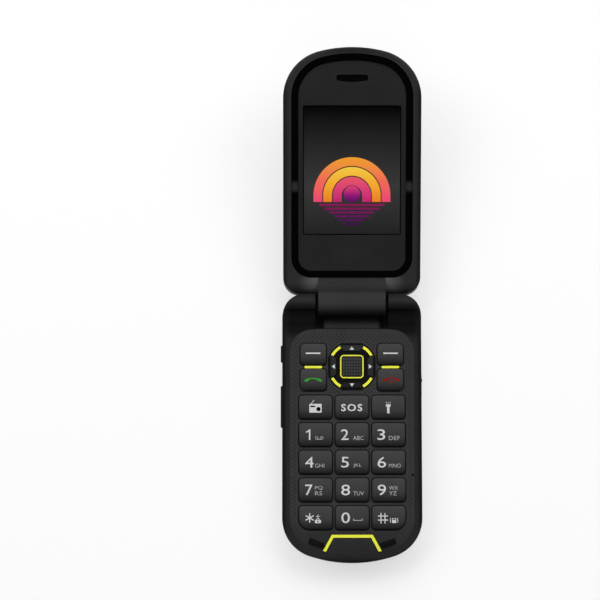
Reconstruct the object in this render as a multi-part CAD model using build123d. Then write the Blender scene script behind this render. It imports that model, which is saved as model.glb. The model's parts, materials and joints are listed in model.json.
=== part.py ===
from build123d import *
import functools
import math
import os

# Rugged flip phone, lying open on its back. Millimetres, +Z up, +X to the phone's right, +Y towards the lid tip.
# The origin is on the table straight below the hinge axis. The lid is drawn flat in its own frame
# (u along +Y, w along +Z, hinge axis at its origin) and is then tilted up about the hinge axis.

# --- drawing aids ---
same_place = 0.01               # how close two places count as one when edges are picked
overcut = 1.0                   # how far a cutting shape runs past a face
root = 0.1                      # how far a joined shape runs into what carries it
corner_steps = 3                # short sides that make one small round corner
peg_sides = 12                  # flat sides of screws, bosses and their holes
first_step = 0.6                # a stepped edge: wide chamfer, then a narrow one on each of its borders
second_step = 0.25
seat_gap = 0.05                 # round glass, mesh and rings that are glued into a seat

# --- keypad half ---
base_width = 52.9
base_length = 97.6              # hinge axis to the bottom end
base_head = 4.3                 # hinge axis to the flat head face
base_head_corner = 9.5
base_end_corner = 15.0
base_end_crown = 52.0
base_thickness = 10.5           # back face to rim
back_edge_round = 2.6
rim_edge = 0.65
spine_height = 0.8              # raised spine and bumper pad, which the phone stands on
seam_height = 5.1
wall = 1.6
floor_thickness = 1.8
cavity_corner = 4.0

# --- hinge ---
knuckle_radius = 4.3
knuckle_crest = 1.9             # how far the crest runs past the axis
knuckle_root = 2.0              # how deep the knuckles reach into the body
knuckle_round = 3.0             # outer ends of the knuckles, seen from the bottom end
sweep_end = 8.2                 # the hollow sweep from the knuckles down to the rim; the lid's heel follows it
sweep_slope = 8.0               # how steeply it meets the rim
barrel_radius = 4.9
barrel_half = 12.8
barrel_bevel = 0.4
barrel_gap = 1.1                # barrel end to knuckle
saddle_clearance = 0.4
saddle_slot_width = 2.8
saddle_slot_end_y = -7.6
saddle_slot_depth = 4.4         # below the axis
neck_depth = 3.9
neck_reach = 10.0               # axis to where the neck meets the lid face
ramp_length = 8.0
axis_over_rim = 0.7
open_tilt = 15.0                # lid slope when open
lid_swing = 165.0
end_cut_reach = 40.0
head_gap = 0.2                  # lid end to base head when open
click_radius = 3.1
click_length = 15.0
click_inset = 0.6               # barrel end to the cartridge
click_bevel = 0.3
click_end_gap = 0.2
collar_rise = 0.5
collar_width = 0.4
collar_gap = 0.2
click_nose_radius = 1.6
pin_radius = 2.0
pin_bore = 0.9
pin_length = 12.0
knuckle_bore_depth = 5.0
bore_end_gap = 0.3
running_fit = 0.05

# --- keypad panel and keys ---
panel_rim = 2.8                 # width of the shell rim round the panel
panel_top_y = -9.1
panel_corner = 8.7
panel_sunk = 0.3
panel_flange = 0.6
panel_plug = 0.65
panel_ledge = 1.2
panel_relief = 0.2              # free height under the panel's plug
key_gap = 0.15
key_rise = 0.6                  # key top over the panel
key_bevel = 0.3
key_flange = 0.35
key_flange_thickness = 0.6
key_travel = 0.3
key_play = 0.15                 # flange to panel underside
key_rows = 5
function_row_y = -39.0
last_row_to_end = 16.8
row_gap = 1.55
column_gap = 1.25
key_side_margin = 3.575
key_corner = 1.35
key_outer_corner = 3.9
soft_side_margin = 4.1
soft_to_pad = 1.55
soft_y = -18.85
soft_height = 8.2
call_y = -28.6
call_height = 8.3
soft_outer_corner = 2.2
nav_y = -23.55
ok_size = 9.2
ok_corner = 1.6
pad_inner = 5.9
pad_outer = 8.2
pad_outer_width = 8.75
pad_inner_width = 6.3
pad_corner = 0.5
arc_radius = 9.1
arc_width = 1.0
quarter_turn = 90.0
arc_start = quarter_turn / 3
bar_width = 6.7
bar_height = 0.9
bar_corner = 0.4
accent_rise = 0.15
accent_depth = 0.35

# --- rubber rest pads, bumper trim ---
rest_pad_start = (10.7, 6.3)      # across, and from the bottom end
rest_pad_end = (16.2, 8.3)
rest_pad_width = 1.9
rest_pad_gap = 0.05
rest_pad_bevel = 0.3
trim_top_to_end = 9.9
trim_half = 7.4
trim_leg_half = 10.8
trim_leg_to_end = 3.7
trim_width = 1.1
trim_depth = 0.6
trim_wrap_height = 3.6                 # how far the trim turns up the bottom end
trim_margin = 0.3

# --- boards, battery, mat ---
board_side_margin = 5.85
board_top_y = -10.0
board_to_end = 11.1
mat_top_y = -11.1
board_thickness = 1.0
mat_thickness = 0.8
pusher_size = 2.4
pusher_gap = 0.05
battery_side_margin = 9.45
battery_top_y = -22.0
battery_to_cover_end = 2.7
battery_thickness = 4.0
battery_gap = 0.2
battery_corner = 2.0
bay_gap = 0.4
bay_wall = 1.8

# --- back of the keypad half ---
spine_half = 9.1
spine_slope = 1.6                # width of the sloping side of the spine and of the lid's hump
spine_end_y = -15.8
pad_edge = 0.5
cover_side_margin = 5.35
cover_top_y = -15.4
cover_to_end = 22.9
cover_corner = 1.5
cover_gap = 0.12
cover_thickness = 1.1
plaque_half = 10.9
plaque_top_y = -37.0
plaque_end_y = -51.0
plaque_corner = 1.7
plaque_depth = 0.3
hex_flats = 6.0
hex_sides = 6
hex_depth = 0.3
hex_rows_to_cover_end = (13.8, 7.3)
hex_pitch = 7.2
strip_side_margin = 12.9
strip_height = 1.6
strip_gap = 0.05
strip_bevel = 1.2
lock_radius = 3.93
lock_recess = 0.45
lock_y = -15.4
lock_thickness = 0.75
lock_sunk = 0.1
lock_bevel = 0.2
lock_under_gap = 0.2
lock_shaft = 1.5
lock_slot_width = 0.9
lock_slot_depth = 0.35
lock_cam_reach = 3.9
lock_cam_thickness = 0.7
lock_cam_gap = 0.15
insert_half = 6.1
insert_end_y = -1.1
insert_corner = 2.0
insert_depth = 1.2
insert_gap = 0.05
bumper_half = 12.2
bumper_to_end = 11.0
screw_head_radius = 1.5
screw_head_height = 0.9
screw_sunk = 0.25
screw_shaft_radius = 0.75
screw_length = 7.4
screw_socket = 1.0
screw_socket_depth = 0.5
boss_radius = 2.0
head_screw_spot = (7.55, -5.0)      # margin from the side, and place along the phone
middle_screw_spot = (3.45, -52.6)
end_screw_spot = (7.55, 7.7)        # margins from the side and the bottom end
speaker_x = 8.0
speaker_to_end = 15.8
speaker_width = 15.0
speaker_depth = 9.4
speaker_thickness = 2.6
speaker_gap = 0.2
speaker_corner = 1.5
grille_pitch_x = 2.9
grille_pitch_y = 1.95
grille_rows = (3, 4, 4, 3)
grille_hole_width = 1.9
grille_hole_height = 1.2
grille_hole_corner = 0.5
mic_margin = 0.75
mic_y = -64.6
mic_radius = 0.45
mic_depth = 0.4
pry_slot_y = -23.6
pry_slot_height = 0.5
pry_slot_margin = 3.0
pry_slot_length = 1.7
pry_slot_depth = 0.5

# --- sides of the keypad half ---
side_key_top_y = -15.1
side_key_end_y = -21.7
rocker_top_y = -30.6
rocker_end_y = -46.6
side_key_low = 6.2
side_key_high = 9.0
side_key_rise = 0.6
side_key_gap = 0.15
side_key_travel = 0.35
side_key_bevel = 0.35
side_key_corner = 1.0
side_key_flange = 0.6
side_key_flange_edge = 0.3
side_key_flange_thickness = 0.7
side_key_backlash = 0.4
port_top_y = -25.9
port_end_y = -35.4
port_low = 2.9
port_high = 7.9
port_corner = 1.2
port_cover_rise = 0.2
port_cover_bevel = 0.2
port_cover_thickness = 1.2
port_cover_gap = 0.15
nub_to_top = 2.4
nub_width = 1.0
nub_height = 2.4
nub_corner = 0.45
nub_rise = 0.25
socket_width = 7.6
socket_height = 2.6
socket_depth = 4.6
socket_wall = 0.35
socket_bore = 3.6
socket_corner = 0.6
socket_bore_corner = 0.4
socket_room = 0.3
tongue_half = 1.8
tongue_low = 0.1
tongue_high = 0.6
tongue_sunk = 0.6
socket_back = 1.15              # socket mouth to the cover's inner face

# --- display half ---
lid_inset = 0.35                # how much narrower the lid is on each side
lid_thickness = 9.6
lid_hump = 0.8
lid_tip_corner = 18.0
lid_tip_crown = 50.0
lid_heel_corner = 6.0
lid_heel_round = 1.0
lid_seam = 4.5
lid_front_round = 1.0
lid_back_round = 2.6
lid_back_wall = 1.2
lid_cavity_heel = 9.4
lid_shelf = 1.0                 # thickness of the ledge that carries the bezel
lid_shelf_heel = 0.6
ring_margin = 3.1
ring_width = 2.6
ring_heel = 10.4
ring_tip_margin = 2.2
ring_heel_corner = 7.7
ring_tip_corner = 15.5
ring_crown_inset = 2.5
ring_sunk = 0.2
ring_thickness = 1.3
ring_lip = 0.5
ring_bevel = 0.4
face_sunk = 0.9
bezel_thickness = 1.2
window_margin = 4.45
window_heel = 26.7
window_tip_margin = 19.6
window_corner = 0.8
window_thickness = 0.95
window_gap = 0.08
display_thickness = 2.4
display_border = 1.0
display_inset = 0.3
display_gap = 0.1
lid_board_thickness = 0.8
lid_board_gap = 0.4
lid_board_margin = 7.1
lid_board_heel = 12.5
lid_board_tip_margin = 17.6
earpiece_half = 6.0
earpiece_low_margin = 10.9
earpiece_height = 2.9
earpiece_end = 2.3
earpiece_corner = 1.0
earpiece_sunk = 0.35
earpiece_thickness = 1.6
outer_half = 14.2
outer_heel = 40.8
outer_tip = 71.3
outer_corner = 1.3
outer_sunk = 0.1
outer_thickness = 0.9
outer_display_half = 13.3
outer_display_heel = 41.8
outer_display_tip = 70.6
outer_display_thickness = 2.3
plate_half = 8.85
plate_heel_margin = 10.7
plate_height = 5.5
plate_bevel = 1.4
plate_corner = 0.5
plate_depth = 0.3
hump_half = 9.1
hump_top = 21.5
camera_half = 6.5
camera_heel = 7.5
camera_tip = 27.4
camera_ring_width = 0.8
camera_shelf = 0.6
camera_ring_depth = 1.0
camera_ring_rise = 0.15
camera_ring_bevel = 0.2
camera_window_thickness = 0.6
camera_window_sunk = 0.15
camera_spot = 14.1
camera_body = 7.0
camera_lens_radius = 2.2
camera_lens_gap = 0.1
camera_lens_height = 0.7
led_spot = 21.7
led_radius = 1.6
led_body = 3.4
led_sunk = 0.1
led_body_gap = 0.3
led_gap = 0.1
led_bevel = 0.3
tip_screw_spot = (9.7, 11.5)        # margins from the side and the tip
waist_screw_spot = (3.2, 51.8)      # margin from the side, and place along the lid
heel_screw_spot = (7.0, 10.3)
lid_screw_length = 6.4

# --- places worked out from the sizes above ---
side = base_width / 2
base_end = -base_length
lid_side = side - lid_inset
lid_length = base_length
panel_side = side - panel_rim
column_pitch = (panel_side - key_side_margin + column_gap / 2) / 1.5
key_width = column_pitch - column_gap
last_row_y = base_end + last_row_to_end
row_pitch = (function_row_y - last_row_y) / (key_rows - 1)
key_height = row_pitch - row_gap
soft_width = panel_side - soft_side_margin - pad_outer - soft_to_pad
soft_x = panel_side - soft_side_margin - soft_width / 2
trim_top_y = base_end + trim_top_to_end
trim_leg_y = base_end + trim_leg_to_end
board_half = side - board_side_margin
board_end_y = base_end + board_to_end
cover_half = side - cover_side_margin
cover_end_y = base_end + cover_to_end
battery_half = side - battery_side_margin
battery_end_y = cover_end_y + battery_to_cover_end
strip_half = side - strip_side_margin
strip_top_y = cover_end_y - strip_gap
bumper_top_y = base_end + bumper_to_end
speaker_y = base_end + speaker_to_end
mic_x = panel_side - mic_margin
base_screw_spots = [(side - head_screw_spot[0], head_screw_spot[1]),
                    (side - middle_screw_spot[0], middle_screw_spot[1]),
                    (side - end_screw_spot[0], base_end + end_screw_spot[1])]
ring_half = lid_side - ring_margin
ring_tip = lid_length - ring_tip_margin
window_half = ring_half - window_margin
window_tip = ring_tip - window_tip_margin
lid_board_half = lid_side - lid_board_margin
lid_board_tip = lid_length - lid_board_tip_margin
earpiece_low = ring_tip - earpiece_low_margin
earpiece_high = earpiece_low + earpiece_height
plate_heel = lid_length - plate_heel_margin
plate_tip = plate_heel + plate_height
lid_screw_spots = [(lid_side - tip_screw_spot[0], lid_length - tip_screw_spot[1]),
                   (lid_side - waist_screw_spot[0], waist_screw_spot[1]),
                   (lid_side - heel_screw_spot[0], heel_screw_spot[1])]

# --- levels, from the table up ---
back_level = spine_height
rim_level = back_level + base_thickness
axis_level = rim_level + axis_over_rim
panel_level = rim_level - panel_sunk
ledge_level = panel_level - panel_flange
panel_under = ledge_level - panel_plug
key_level = panel_level + key_rise
flange_top = panel_under - key_play
flange_bottom = flange_top - key_flange_thickness
floor_level = back_level + floor_thickness
cover_top_level = back_level + cover_thickness
battery_bottom = cover_top_level + battery_gap
battery_top = battery_bottom + battery_thickness
board_bottom = battery_top + battery_gap
board_top = board_bottom + board_thickness
mat_top = board_top + mat_thickness
pusher_top = flange_bottom - key_travel - pusher_gap
barrel_side = barrel_half + barrel_gap
saddle_radius = barrel_radius + saddle_clearance
cavity_top_y = panel_top_y - 0.4

# --- levels in the lid, below its face ---
face_level = -face_sunk
bezel_bottom = face_level - bezel_thickness
display_top = face_level - window_thickness - window_gap
display_bottom = display_top - display_thickness
lid_board_top = display_bottom - lid_board_gap
lid_board_bottom = lid_board_top - lid_board_thickness
lid_back = -lid_thickness
lid_floor = lid_back + lid_back_wall
hump_level = lid_back - lid_hump
outer_front = lid_back + outer_sunk
outer_rear = outer_front + outer_thickness
camera_front = hump_level + camera_window_sunk
camera_rear = camera_front + camera_window_thickness


# --- helpers ---
def prism(sketch, low, high):
    """A flat outline raised from one level to another."""
    return extrude(Pos(0, 0, low) * sketch, high - low)


def block(x_low, x_high, y_low, y_high, z_low, z_high):
    centre = ((x_low + x_high) / 2, (y_low + y_high) / 2, (z_low + z_high) / 2)
    return Pos(*centre) * Box(x_high - x_low, y_high - y_low, z_high - z_low)


def cornered(spots):
    """A closed outline through (x, y, corner radius) spots, each round corner drawn in a few short sides."""
    points = []
    for n, (x, y, radius) in enumerate(spots):
        corner = Vector(x, y)
        one = (Vector(*spots[n - 1][:2]) - corner).normalized()
        other = (Vector(*spots[(n + 1) % len(spots)][:2]) - corner).normalized()
        half = math.radians(one.get_angle(other)) / 2
        centre = corner + (one + other).normalized() * (radius / math.sin(half))
        span = math.pi - 2 * half
        start = corner + one * (radius / math.tan(half)) - centre
        end = corner + other * (radius / math.tan(half)) - centre
        for step in range(corner_steps + 1):
            part = span * step / corner_steps
            points.append(centre + (start * math.sin(span - part) + end * math.sin(part)) * (1 / math.sin(span)))
    return make_face(Polyline(*points, close=True))


def box_outline(x, y, width, height, *radii):
    """A rectangle with round corners, given from the top right one round by the left."""
    corners = [(1, 1), (-1, 1), (-1, -1), (1, -1)]
    radii = radii if len(radii) > 1 else radii * 4
    return cornered([(x + a * width / 2, y + b * height / 2, r) for (a, b), r in zip(corners, radii)])


def rounded(half, y_low, y_high, corner, x=0.0):
    return box_outline(x, (y_low + y_high) / 2, 2 * half, y_high - y_low, corner)


def plain(half, y_low, y_high):
    return Pos(0, (y_low + y_high) / 2) * Rectangle(2 * half, y_high - y_low)


def post(radius, low, high, x=0.0, y=0.0):
    return Pos(x, y, (low + high) / 2) * Cylinder(radius, high - low)


def peg(radius, low, high, x=0.0, y=0.0):
    """A small round post with flat sides."""
    return prism(Pos(x, y) * RegularPolygon(radius, peg_sides), low, high)


def rod(radius, x_low, x_high, y=0.0, z=0.0):
    """A round bar along X."""
    turn = Rot(0, 90, 0)
    return Pos((x_low + x_high) / 2, y, z) * turn * Cylinder(radius, abs(x_high - x_low))


def side_profile(points, half):
    """A closed outline of (y, z) points, raised both ways along X."""
    face = make_face(Polyline(*[(0, y, z) for y, z in points], close=True))
    return extrude(face, half, dir=(1, 0, 0), both=True)


def crowned(half, y_near, y_far, near_corner, far_corner, crown):
    """Outline of a phone half: square near end, far end crowned on a large circle, all corners round."""
    toward = math.copysign(1, y_far - y_near)
    centre = y_far - toward * crown
    near_part = Pos(0, (y_near + centre) / 2) * Rectangle(2 * half, abs(centre - y_near))
    far_part = Pos(0, (centre + y_far) / 2) * Rectangle(2 * half, crown) & Pos(0, centre) * Circle(crown)
    shape = near_part + far_part
    near = [v for v in shape.vertices() if abs(v.Y - y_near) < same_place]
    shape = fillet(near, near_corner)
    far = [v for v in shape.vertices() if (v.Y - centre) * toward > 0 and abs(v.X) > half - same_place]
    return fillet(far, far_corner)


def mirrored(spots):
    return [(sign * x, y) for x, y in spots for sign in (-1, 1)]


def at_level(body, level):
    return [e for e in body.edges() if abs(e.center().Z - level) < same_place]


def stepped(body, edges, radius, level):
    """Edges of a flat face rounded in three flat steps."""
    body = chamfer(edges, first_step * radius)
    bands = [f for f in body.faces() if root < f.bounding_box().size.Z < first_step * radius + same_place
             and abs(f.center().Z - level) < first_step * radius]
    borders = [e for f in bands for e in f.edges()]
    times = [hash(e) for e in borders]
    return chamfer([e for e in borders if times.count(hash(e)) == 1], second_step * radius)


def sloped(outline, level, height, width):
    """A raised plateau whose sides slope outwards from the top to the foot."""
    slope = math.degrees(math.atan(width / height))
    return extrude(Pos(0, 0, level) * outline, height, dir=(0, 0, -1), taper=slope)


# --- keypad half: outlines ---
def base_outline(inset=0.0):
    return crowned(side - inset, base_head - inset, base_end + inset,
                   base_head_corner - inset, base_end_corner - inset, base_end_crown - inset)


def panel_outline(inset=0.0):
    return crowned(side - panel_rim - inset, panel_top_y - inset, base_end + panel_rim + inset,
                   panel_corner - inset, base_end_corner - panel_rim - inset, base_end_crown - panel_rim - inset)


def cavity_outline():
    return crowned(side - wall, cavity_top_y, base_end + wall, cavity_corner,
                   base_end_corner - wall, base_end_crown - wall)


def spine_plateau():
    """The raised spine, cut off at the head face."""
    beyond = base_head + 2 * spine_slope
    straight = Pos(0, (beyond + spine_end_y) / 2) * Rectangle(2 * spine_half, beyond - spine_end_y)
    plateau = sloped(straight + Pos(0, spine_end_y) * Circle(spine_half), back_level, spine_height, spine_slope)
    return plateau & block(-side, side, base_end, base_head, 0, back_level)


def cover_outline(gap=0.0):
    return rounded(cover_half + gap, cover_end_y - gap, cover_top_y + gap, cover_corner)


def bumper_outline():
    pad = Pos(0, (bumper_top_y - base_length) / 2) * Rectangle(2 * bumper_half, base_length + bumper_top_y)
    return pad & base_outline()


# --- keypad half: hinge shapes ---
def neck_angle():
    return math.acos(barrel_radius / neck_reach)


def ramp_cut():
    """Room for the neck when the lid is shut: everything above a line that stays clear of it."""
    turn = neck_angle()
    touch = (-saddle_radius * math.cos(turn), axis_level - saddle_radius * math.sin(turn))
    along = (-math.sin(turn), math.cos(turn))
    start = (touch[0] + along[0] * 2 * ramp_length, touch[1] + along[1] * 2 * ramp_length)
    points = [touch, start, (0, start[1]), (0, axis_level)]
    return side_profile(points, barrel_side)


def saddle_cut():
    round_cut = rod(saddle_radius, -barrel_side, barrel_side, 0, axis_level)
    over = block(-barrel_side, barrel_side, -saddle_radius, base_head + overcut, axis_level,
                 axis_level + saddle_radius)
    half = saddle_slot_width / 2
    slots = [block(x - half, x + half, saddle_slot_end_y, 0, axis_level - saddle_slot_depth, axis_level)
             for x in (half - barrel_side, barrel_side - half)]
    return round_cut + over + ramp_cut() + slots


def base_body():
    crest = math.sqrt(knuckle_radius ** 2 - knuckle_crest ** 2)
    plate = prism(base_outline(), back_level, rim_level)
    plate = stepped(plate, at_level(plate, back_level), back_edge_round, back_level)
    plate = chamfer(at_level(plate, rim_level), rim_edge)
    hub = rod(knuckle_radius, -side, side, 0, axis_level)
    top = axis_level + knuckle_radius
    low = rim_level - knuckle_root
    behind_crest = side_profile([(-knuckle_crest, low), (-knuckle_crest, top + overcut),
                                 (base_head, top + overcut), (base_head, low)], side)
    head = block(-side, side, 0, base_head, low, axis_level)
    y, z, radius = sweep_circle()
    foot = block(-side, side, -sweep_end, 0, low, axis_level + crest) - rod(radius, -side, side, y, z)
    hollow = [e for e in foot.edges().filter_by(GeomType.CIRCLE) if abs(e.center().X) > side - same_place]
    foot = chamfer(hollow, rim_edge)
    knuckle = (hub & behind_crest) + foot + head
    return plate + (knuckle & prism(base_outline(), low, top) & round_ended(low, top))


def sweep_circle():
    """Centre and radius of the hollow that runs from the knuckles' crest down to the rim."""
    rise = math.sqrt(knuckle_radius ** 2 - knuckle_crest ** 2) + axis_over_rim
    run = sweep_end - knuckle_crest
    slope = math.radians(sweep_slope)
    radius = math.hypot(run, rise) / 2 / math.sin(math.atan2(rise, run) - slope)
    return -sweep_end - radius * math.sin(slope), rim_level + radius * math.cos(slope), radius


def round_ended(low, high):
    """A slab across the phone whose two upper outer edges are rounded."""
    shape = Rectangle(2 * side, high - low)
    shape = fillet([v for v in shape.vertices() if v.Y > 0], knuckle_round)
    face = Plane((0, base_head + 1, (low + high) / 2), x_dir=(1, 0, 0), z_dir=(0, -overcut, 0)) * shape
    return extrude(face, 2 * base_head + sweep_end)


def raised_pads():
    """The spine and the bumper pad, the two raised places that the phone stands on."""
    pad = prism(bumper_outline(), 0, back_edge_round + back_level)
    return [spine_plateau(), chamfer(at_level(pad, 0), pad_edge)]


@functools.cache
def whole_base():
    return base_body() + raised_pads()


def key_list():
    """Every key of the keypad: name, outline."""
    keys = {}
    column = {-1: -column_pitch, 0: 0.0, 1: column_pitch}
    for name, col in (("radio", -1), ("sos", 0), ("torch", 1)):
        keys["key_" + name] = key_shape(column[col], function_row_y)
    for number in range(1, 10):
        row, col = divmod(number - 1, 3)
        keys["key_%d" % number] = key_shape(column[col - 1], function_row_y - (row + 1) * row_pitch)
    keys["key_star"] = key_shape(column[-1], last_row_y, -1)
    keys["key_0"] = key_shape(0, last_row_y)
    keys["key_hash"] = key_shape(column[1], last_row_y, 1)
    for name, sign in (("left", -1), ("right", 1)):
        keys["key_soft_" + name] = soft_shape(sign, soft_y, soft_height, 1)
    keys["key_call"] = soft_shape(-1, call_y, call_height, -1)
    keys["key_end"] = soft_shape(1, call_y, call_height, -1)
    keys["key_ok"] = box_outline(0, nav_y, ok_size, ok_size, ok_corner)
    for name, turn in (("up", 0), ("left", 90), ("down", 180), ("right", 270)):
        keys["key_" + name] = Pos(0, nav_y) * Rot(0, 0, turn) * direction_shape()
    return keys


def key_shape(x, y, outer=0):
    """A number key; outer picks the side on which its lower corner follows the end of the phone."""
    radii = [key_corner, key_corner, key_outer_corner if outer < 0 else key_corner,
             key_outer_corner if outer > 0 else key_corner]
    return box_outline(x, y, key_width, key_height, *radii)


def soft_shape(sign, y, height, upper):
    """A key beside the direction keys, with one large corner on the outside."""
    spots = [(1, 1), (-1, 1), (-1, -1), (1, -1)]
    radii = [soft_outer_corner if spot == (sign, upper) else key_corner for spot in spots]
    return box_outline(sign * soft_x, y, soft_width, height, *radii)


def direction_shape():
    """One side of the ring round the OK key, drawn as the upper one."""
    half_in = pad_inner_width / 2
    half_out = pad_outer_width / 2
    return cornered([(-half_in, pad_inner, pad_corner), (half_in, pad_inner, pad_corner),
                     (half_out, pad_outer, pad_corner), (-half_out, pad_outer, pad_corner)])


def grown(shape, amount):
    return offset(shape, amount, kind=Kind.INTERSECTION)


def key_solid(shape):
    """A key cap on a plain flange, which the panel holds down and the rubber mat pushes up."""
    cap = prism(shape, flange_top, key_level)
    crown = cap.edges().filter_by(lambda e: abs(e.center().Z - key_level) < same_place)
    size = shape.bounding_box().size
    centre = shape.bounding_box().center()
    plate = Pos(centre.X, centre.Y) * Rectangle(size.X + 2 * key_flange, size.Y + 2 * key_flange)
    return chamfer(crown, key_bevel) + prism(plate, flange_bottom, flange_top)


def arc_outlines():
    """Four yellow arcs round the direction keys."""
    ring = Circle(arc_radius) - Circle(arc_radius - arc_width)
    span = quarter_turn - 2 * arc_start
    reach = 2 * arc_radius
    a, b = math.radians(arc_start), math.radians(arc_start + span)
    wedge = make_face(Polyline((0, 0), (reach * math.cos(a), reach * math.sin(a)),
                               (reach * math.cos(b), reach * math.sin(b)), close=True))
    piece = ring & wedge
    return [Pos(0, nav_y) * Rot(0, 0, turn) * piece for turn in (0, 90, 180, 270)]


def bar_outlines():
    y = (soft_y - soft_height / 2 + call_y + call_height / 2) / 2
    return [box_outline(sign * soft_x, y, bar_width, bar_height, bar_corner) for sign in (-1, 1)]


def trim_outline():
    """Bent band across the bottom end: a bar with two splayed legs."""
    slope = (trim_leg_half - trim_half) / (trim_top_y - trim_leg_y)
    leg_half = trim_half + slope * (trim_top_y + base_length + 1)
    path = [(-leg_half, base_end - 1), (-trim_half, trim_top_y), (trim_half, trim_top_y),
            (leg_half, base_end - 1)]
    return trace(Polyline(*path), trim_width)


def front_trim():
    """The same bent band on the keypad panel, which ends just inside the panel's edge."""
    low, high = panel_level - accent_depth, panel_level + accent_rise
    return prism(trim_outline(), low, high) & prism(panel_outline(trim_margin), low, high)


def keypad_accents():
    """The yellow arcs, bars and bent band that are let into the keypad panel."""
    low, high = panel_level - accent_depth, panel_level + accent_rise
    return [prism(shape, low, high) for shape in arc_outlines() + bar_outlines()] + [front_trim()]


# --- keypad half: pieces ---
def base_front_shell():
    body = whole_base()
    shell = body & block(-side, side, base_end, base_head, seam_height, axis_level + knuckle_radius)
    shell -= prism(cavity_outline(), seam_height, panel_under - panel_relief)
    shell -= prism(panel_outline(panel_ledge), panel_under - panel_relief - root, rim_level)
    shell -= prism(panel_outline(), ledge_level, rim_level + overcut)
    shell -= saddle_cut()
    for sign in (-1, 1):
        shell -= rod(bore_radius(sign), sign * barrel_side, sign * (barrel_side + knuckle_bore_depth), 0, axis_level)
    for x, y in mirrored(base_screw_spots):
        shell += peg(boss_radius, seam_height, panel_under - panel_relief, x, y) & body
        shell -= peg(screw_shaft_radius, 0, screw_top(), x, y)
    for cut in side_cuts():
        shell -= cut
    return shell


def bore_radius(sign):
    return (click_nose_radius if sign < 0 else pin_radius) + running_fit


def screw_top():
    return back_level + screw_sunk + screw_length


def base_back_shell():
    body = whole_base() & block(-side, side, base_end, base_head, 0, seam_height)
    body -= prism(cavity_outline(), floor_level, seam_height)
    bay = rounded(battery_half + bay_gap, battery_end_y - bay_gap, battery_top_y + bay_gap, battery_corner)
    frame = rounded(battery_half + bay_gap + bay_wall, battery_end_y - bay_gap - bay_wall,
                    battery_top_y + bay_gap + bay_wall, battery_corner)
    body += prism(frame, floor_level, board_bottom)
    body -= prism(bay, -overcut, board_bottom)
    body -= prism(cover_outline(cover_gap), -overcut, cover_top_level)
    body -= post(lock_radius + lock_recess, -overcut, lock_level(), 0, lock_y)
    body -= post(lock_shaft + running_fit, -overcut, floor_level, 0, lock_y)
    for x, y in mirrored(base_screw_spots):
        boss = peg(boss_radius, floor_level - 2 * root, seam_height, x, y)
        body += boss & prism(base_outline(wall / 2), 0, seam_height)
        body -= peg(screw_shaft_radius, 0, seam_height, x, y)
        body -= peg(screw_head_radius, -overcut, back_level + screw_sunk + screw_head_height, x, y)
    for hole in grille_holes():
        body -= hole
    body -= prism(strip_outline(), -overcut, back_level + trim_depth)
    body -= insert_blank(insert_gap)
    body -= trim_band()
    body -= prism(pry_outline(), -overcut, back_level + pry_slot_depth)
    for cut in side_cuts():
        body -= cut
    return body


def lock_level():
    return lock_sunk + lock_thickness + lock_under_gap


def pry_outline():
    start = side - pry_slot_margin - pry_slot_length
    return Pos(start + pry_slot_length / 2, pry_slot_y) * Rectangle(pry_slot_length, pry_slot_height)


def strip_outline():
    low = strip_top_y - strip_height
    points = [(-strip_half, strip_top_y), (strip_half, strip_top_y), (strip_half - strip_bevel, low),
              (-strip_half + strip_bevel, low)]
    return make_face(Polyline(*points, close=True))


def grille_holes():
    holes = []
    for row, count in enumerate(grille_rows):
        y = speaker_y + ((len(grille_rows) - 1) / 2 - row) * grille_pitch_y
        for col in range(count):
            x = speaker_x + (col - (count - 1) / 2) * grille_pitch_x
            shape = box_outline(x, y, grille_hole_width, grille_hole_height, grille_hole_corner)
            holes.append(prism(shape, -overcut, floor_level + root))
    return holes


def insert_blank(gap=0.0):
    """Yellow insert that fills the end of the spine and turns up the head face."""
    half = insert_half + gap
    shape = Pos(0, (base_head + 1 + insert_end_y - gap) / 2) * Rectangle(2 * half, base_head + 1 - insert_end_y + gap)
    low = [v for v in shape.vertices() if v.Y < 0]
    return prism(fillet(low, insert_corner), -root, insert_depth)


def trim_band():
    """The bumper trim as a bent band let into the back, which wraps up the bottom end."""
    core = prism(base_outline(trim_depth), trim_depth, trim_wrap_height)
    return (prism(trim_outline(), 0, trim_wrap_height) & whole_base()) - core


def side_cuts():
    cuts = []
    for top_y, end_y in ((side_key_top_y, side_key_end_y), (rocker_top_y, rocker_end_y)):
        cuts.append(block(-side - overcut, -side + wall + root, end_y - side_key_gap, top_y + side_key_gap,
                          side_key_low - side_key_gap, side_key_high + side_key_gap))
    cuts.append(port_plate(port_cover_gap, side - port_cover_thickness - port_cover_gap, side + 2))
    cuts.append(port_mouth(socket_room, side - wall - 2 * overcut, side))
    return cuts


def yz_plate(width, height, corner, x_low, x_high, y, z):
    """A rounded plate that stands across X."""
    shape = Plane((x_low, y, z), x_dir=(0, 1, 0), z_dir=(1, 0, 0)) * box_outline(0, 0, width, height, corner)
    return extrude(shape, x_high - x_low)


def port_plate(grow, x_low, x_high):
    y, z = (port_top_y + port_end_y) / 2, (port_low + port_high) / 2
    return yz_plate(port_top_y - port_end_y + 2 * grow, port_high - port_low + 2 * grow, port_corner, x_low, x_high, y, z)


def port_mouth(grow, x_low, x_high):
    y = (port_top_y + port_end_y) / 2
    z = board_bottom - socket_height / 2
    return yz_plate(socket_width + 2 * grow, socket_height + 2 * grow, socket_corner,
                    x_low, x_high, y, z)


def keypad_panel():
    panel = prism(panel_outline(), ledge_level, panel_level) + prism(panel_outline(panel_ledge), panel_under, ledge_level)
    for shape in key_list().values():
        panel -= prism(grown(shape, key_gap), panel_under - overcut, panel_level + overcut)
    for accent in keypad_accents():
        panel -= accent
    panel -= peg(mic_radius, panel_level - mic_depth, panel_level + overcut, mic_x, mic_y)
    return panel


def keypad_light_bars():
    return keypad_accents()


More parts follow.
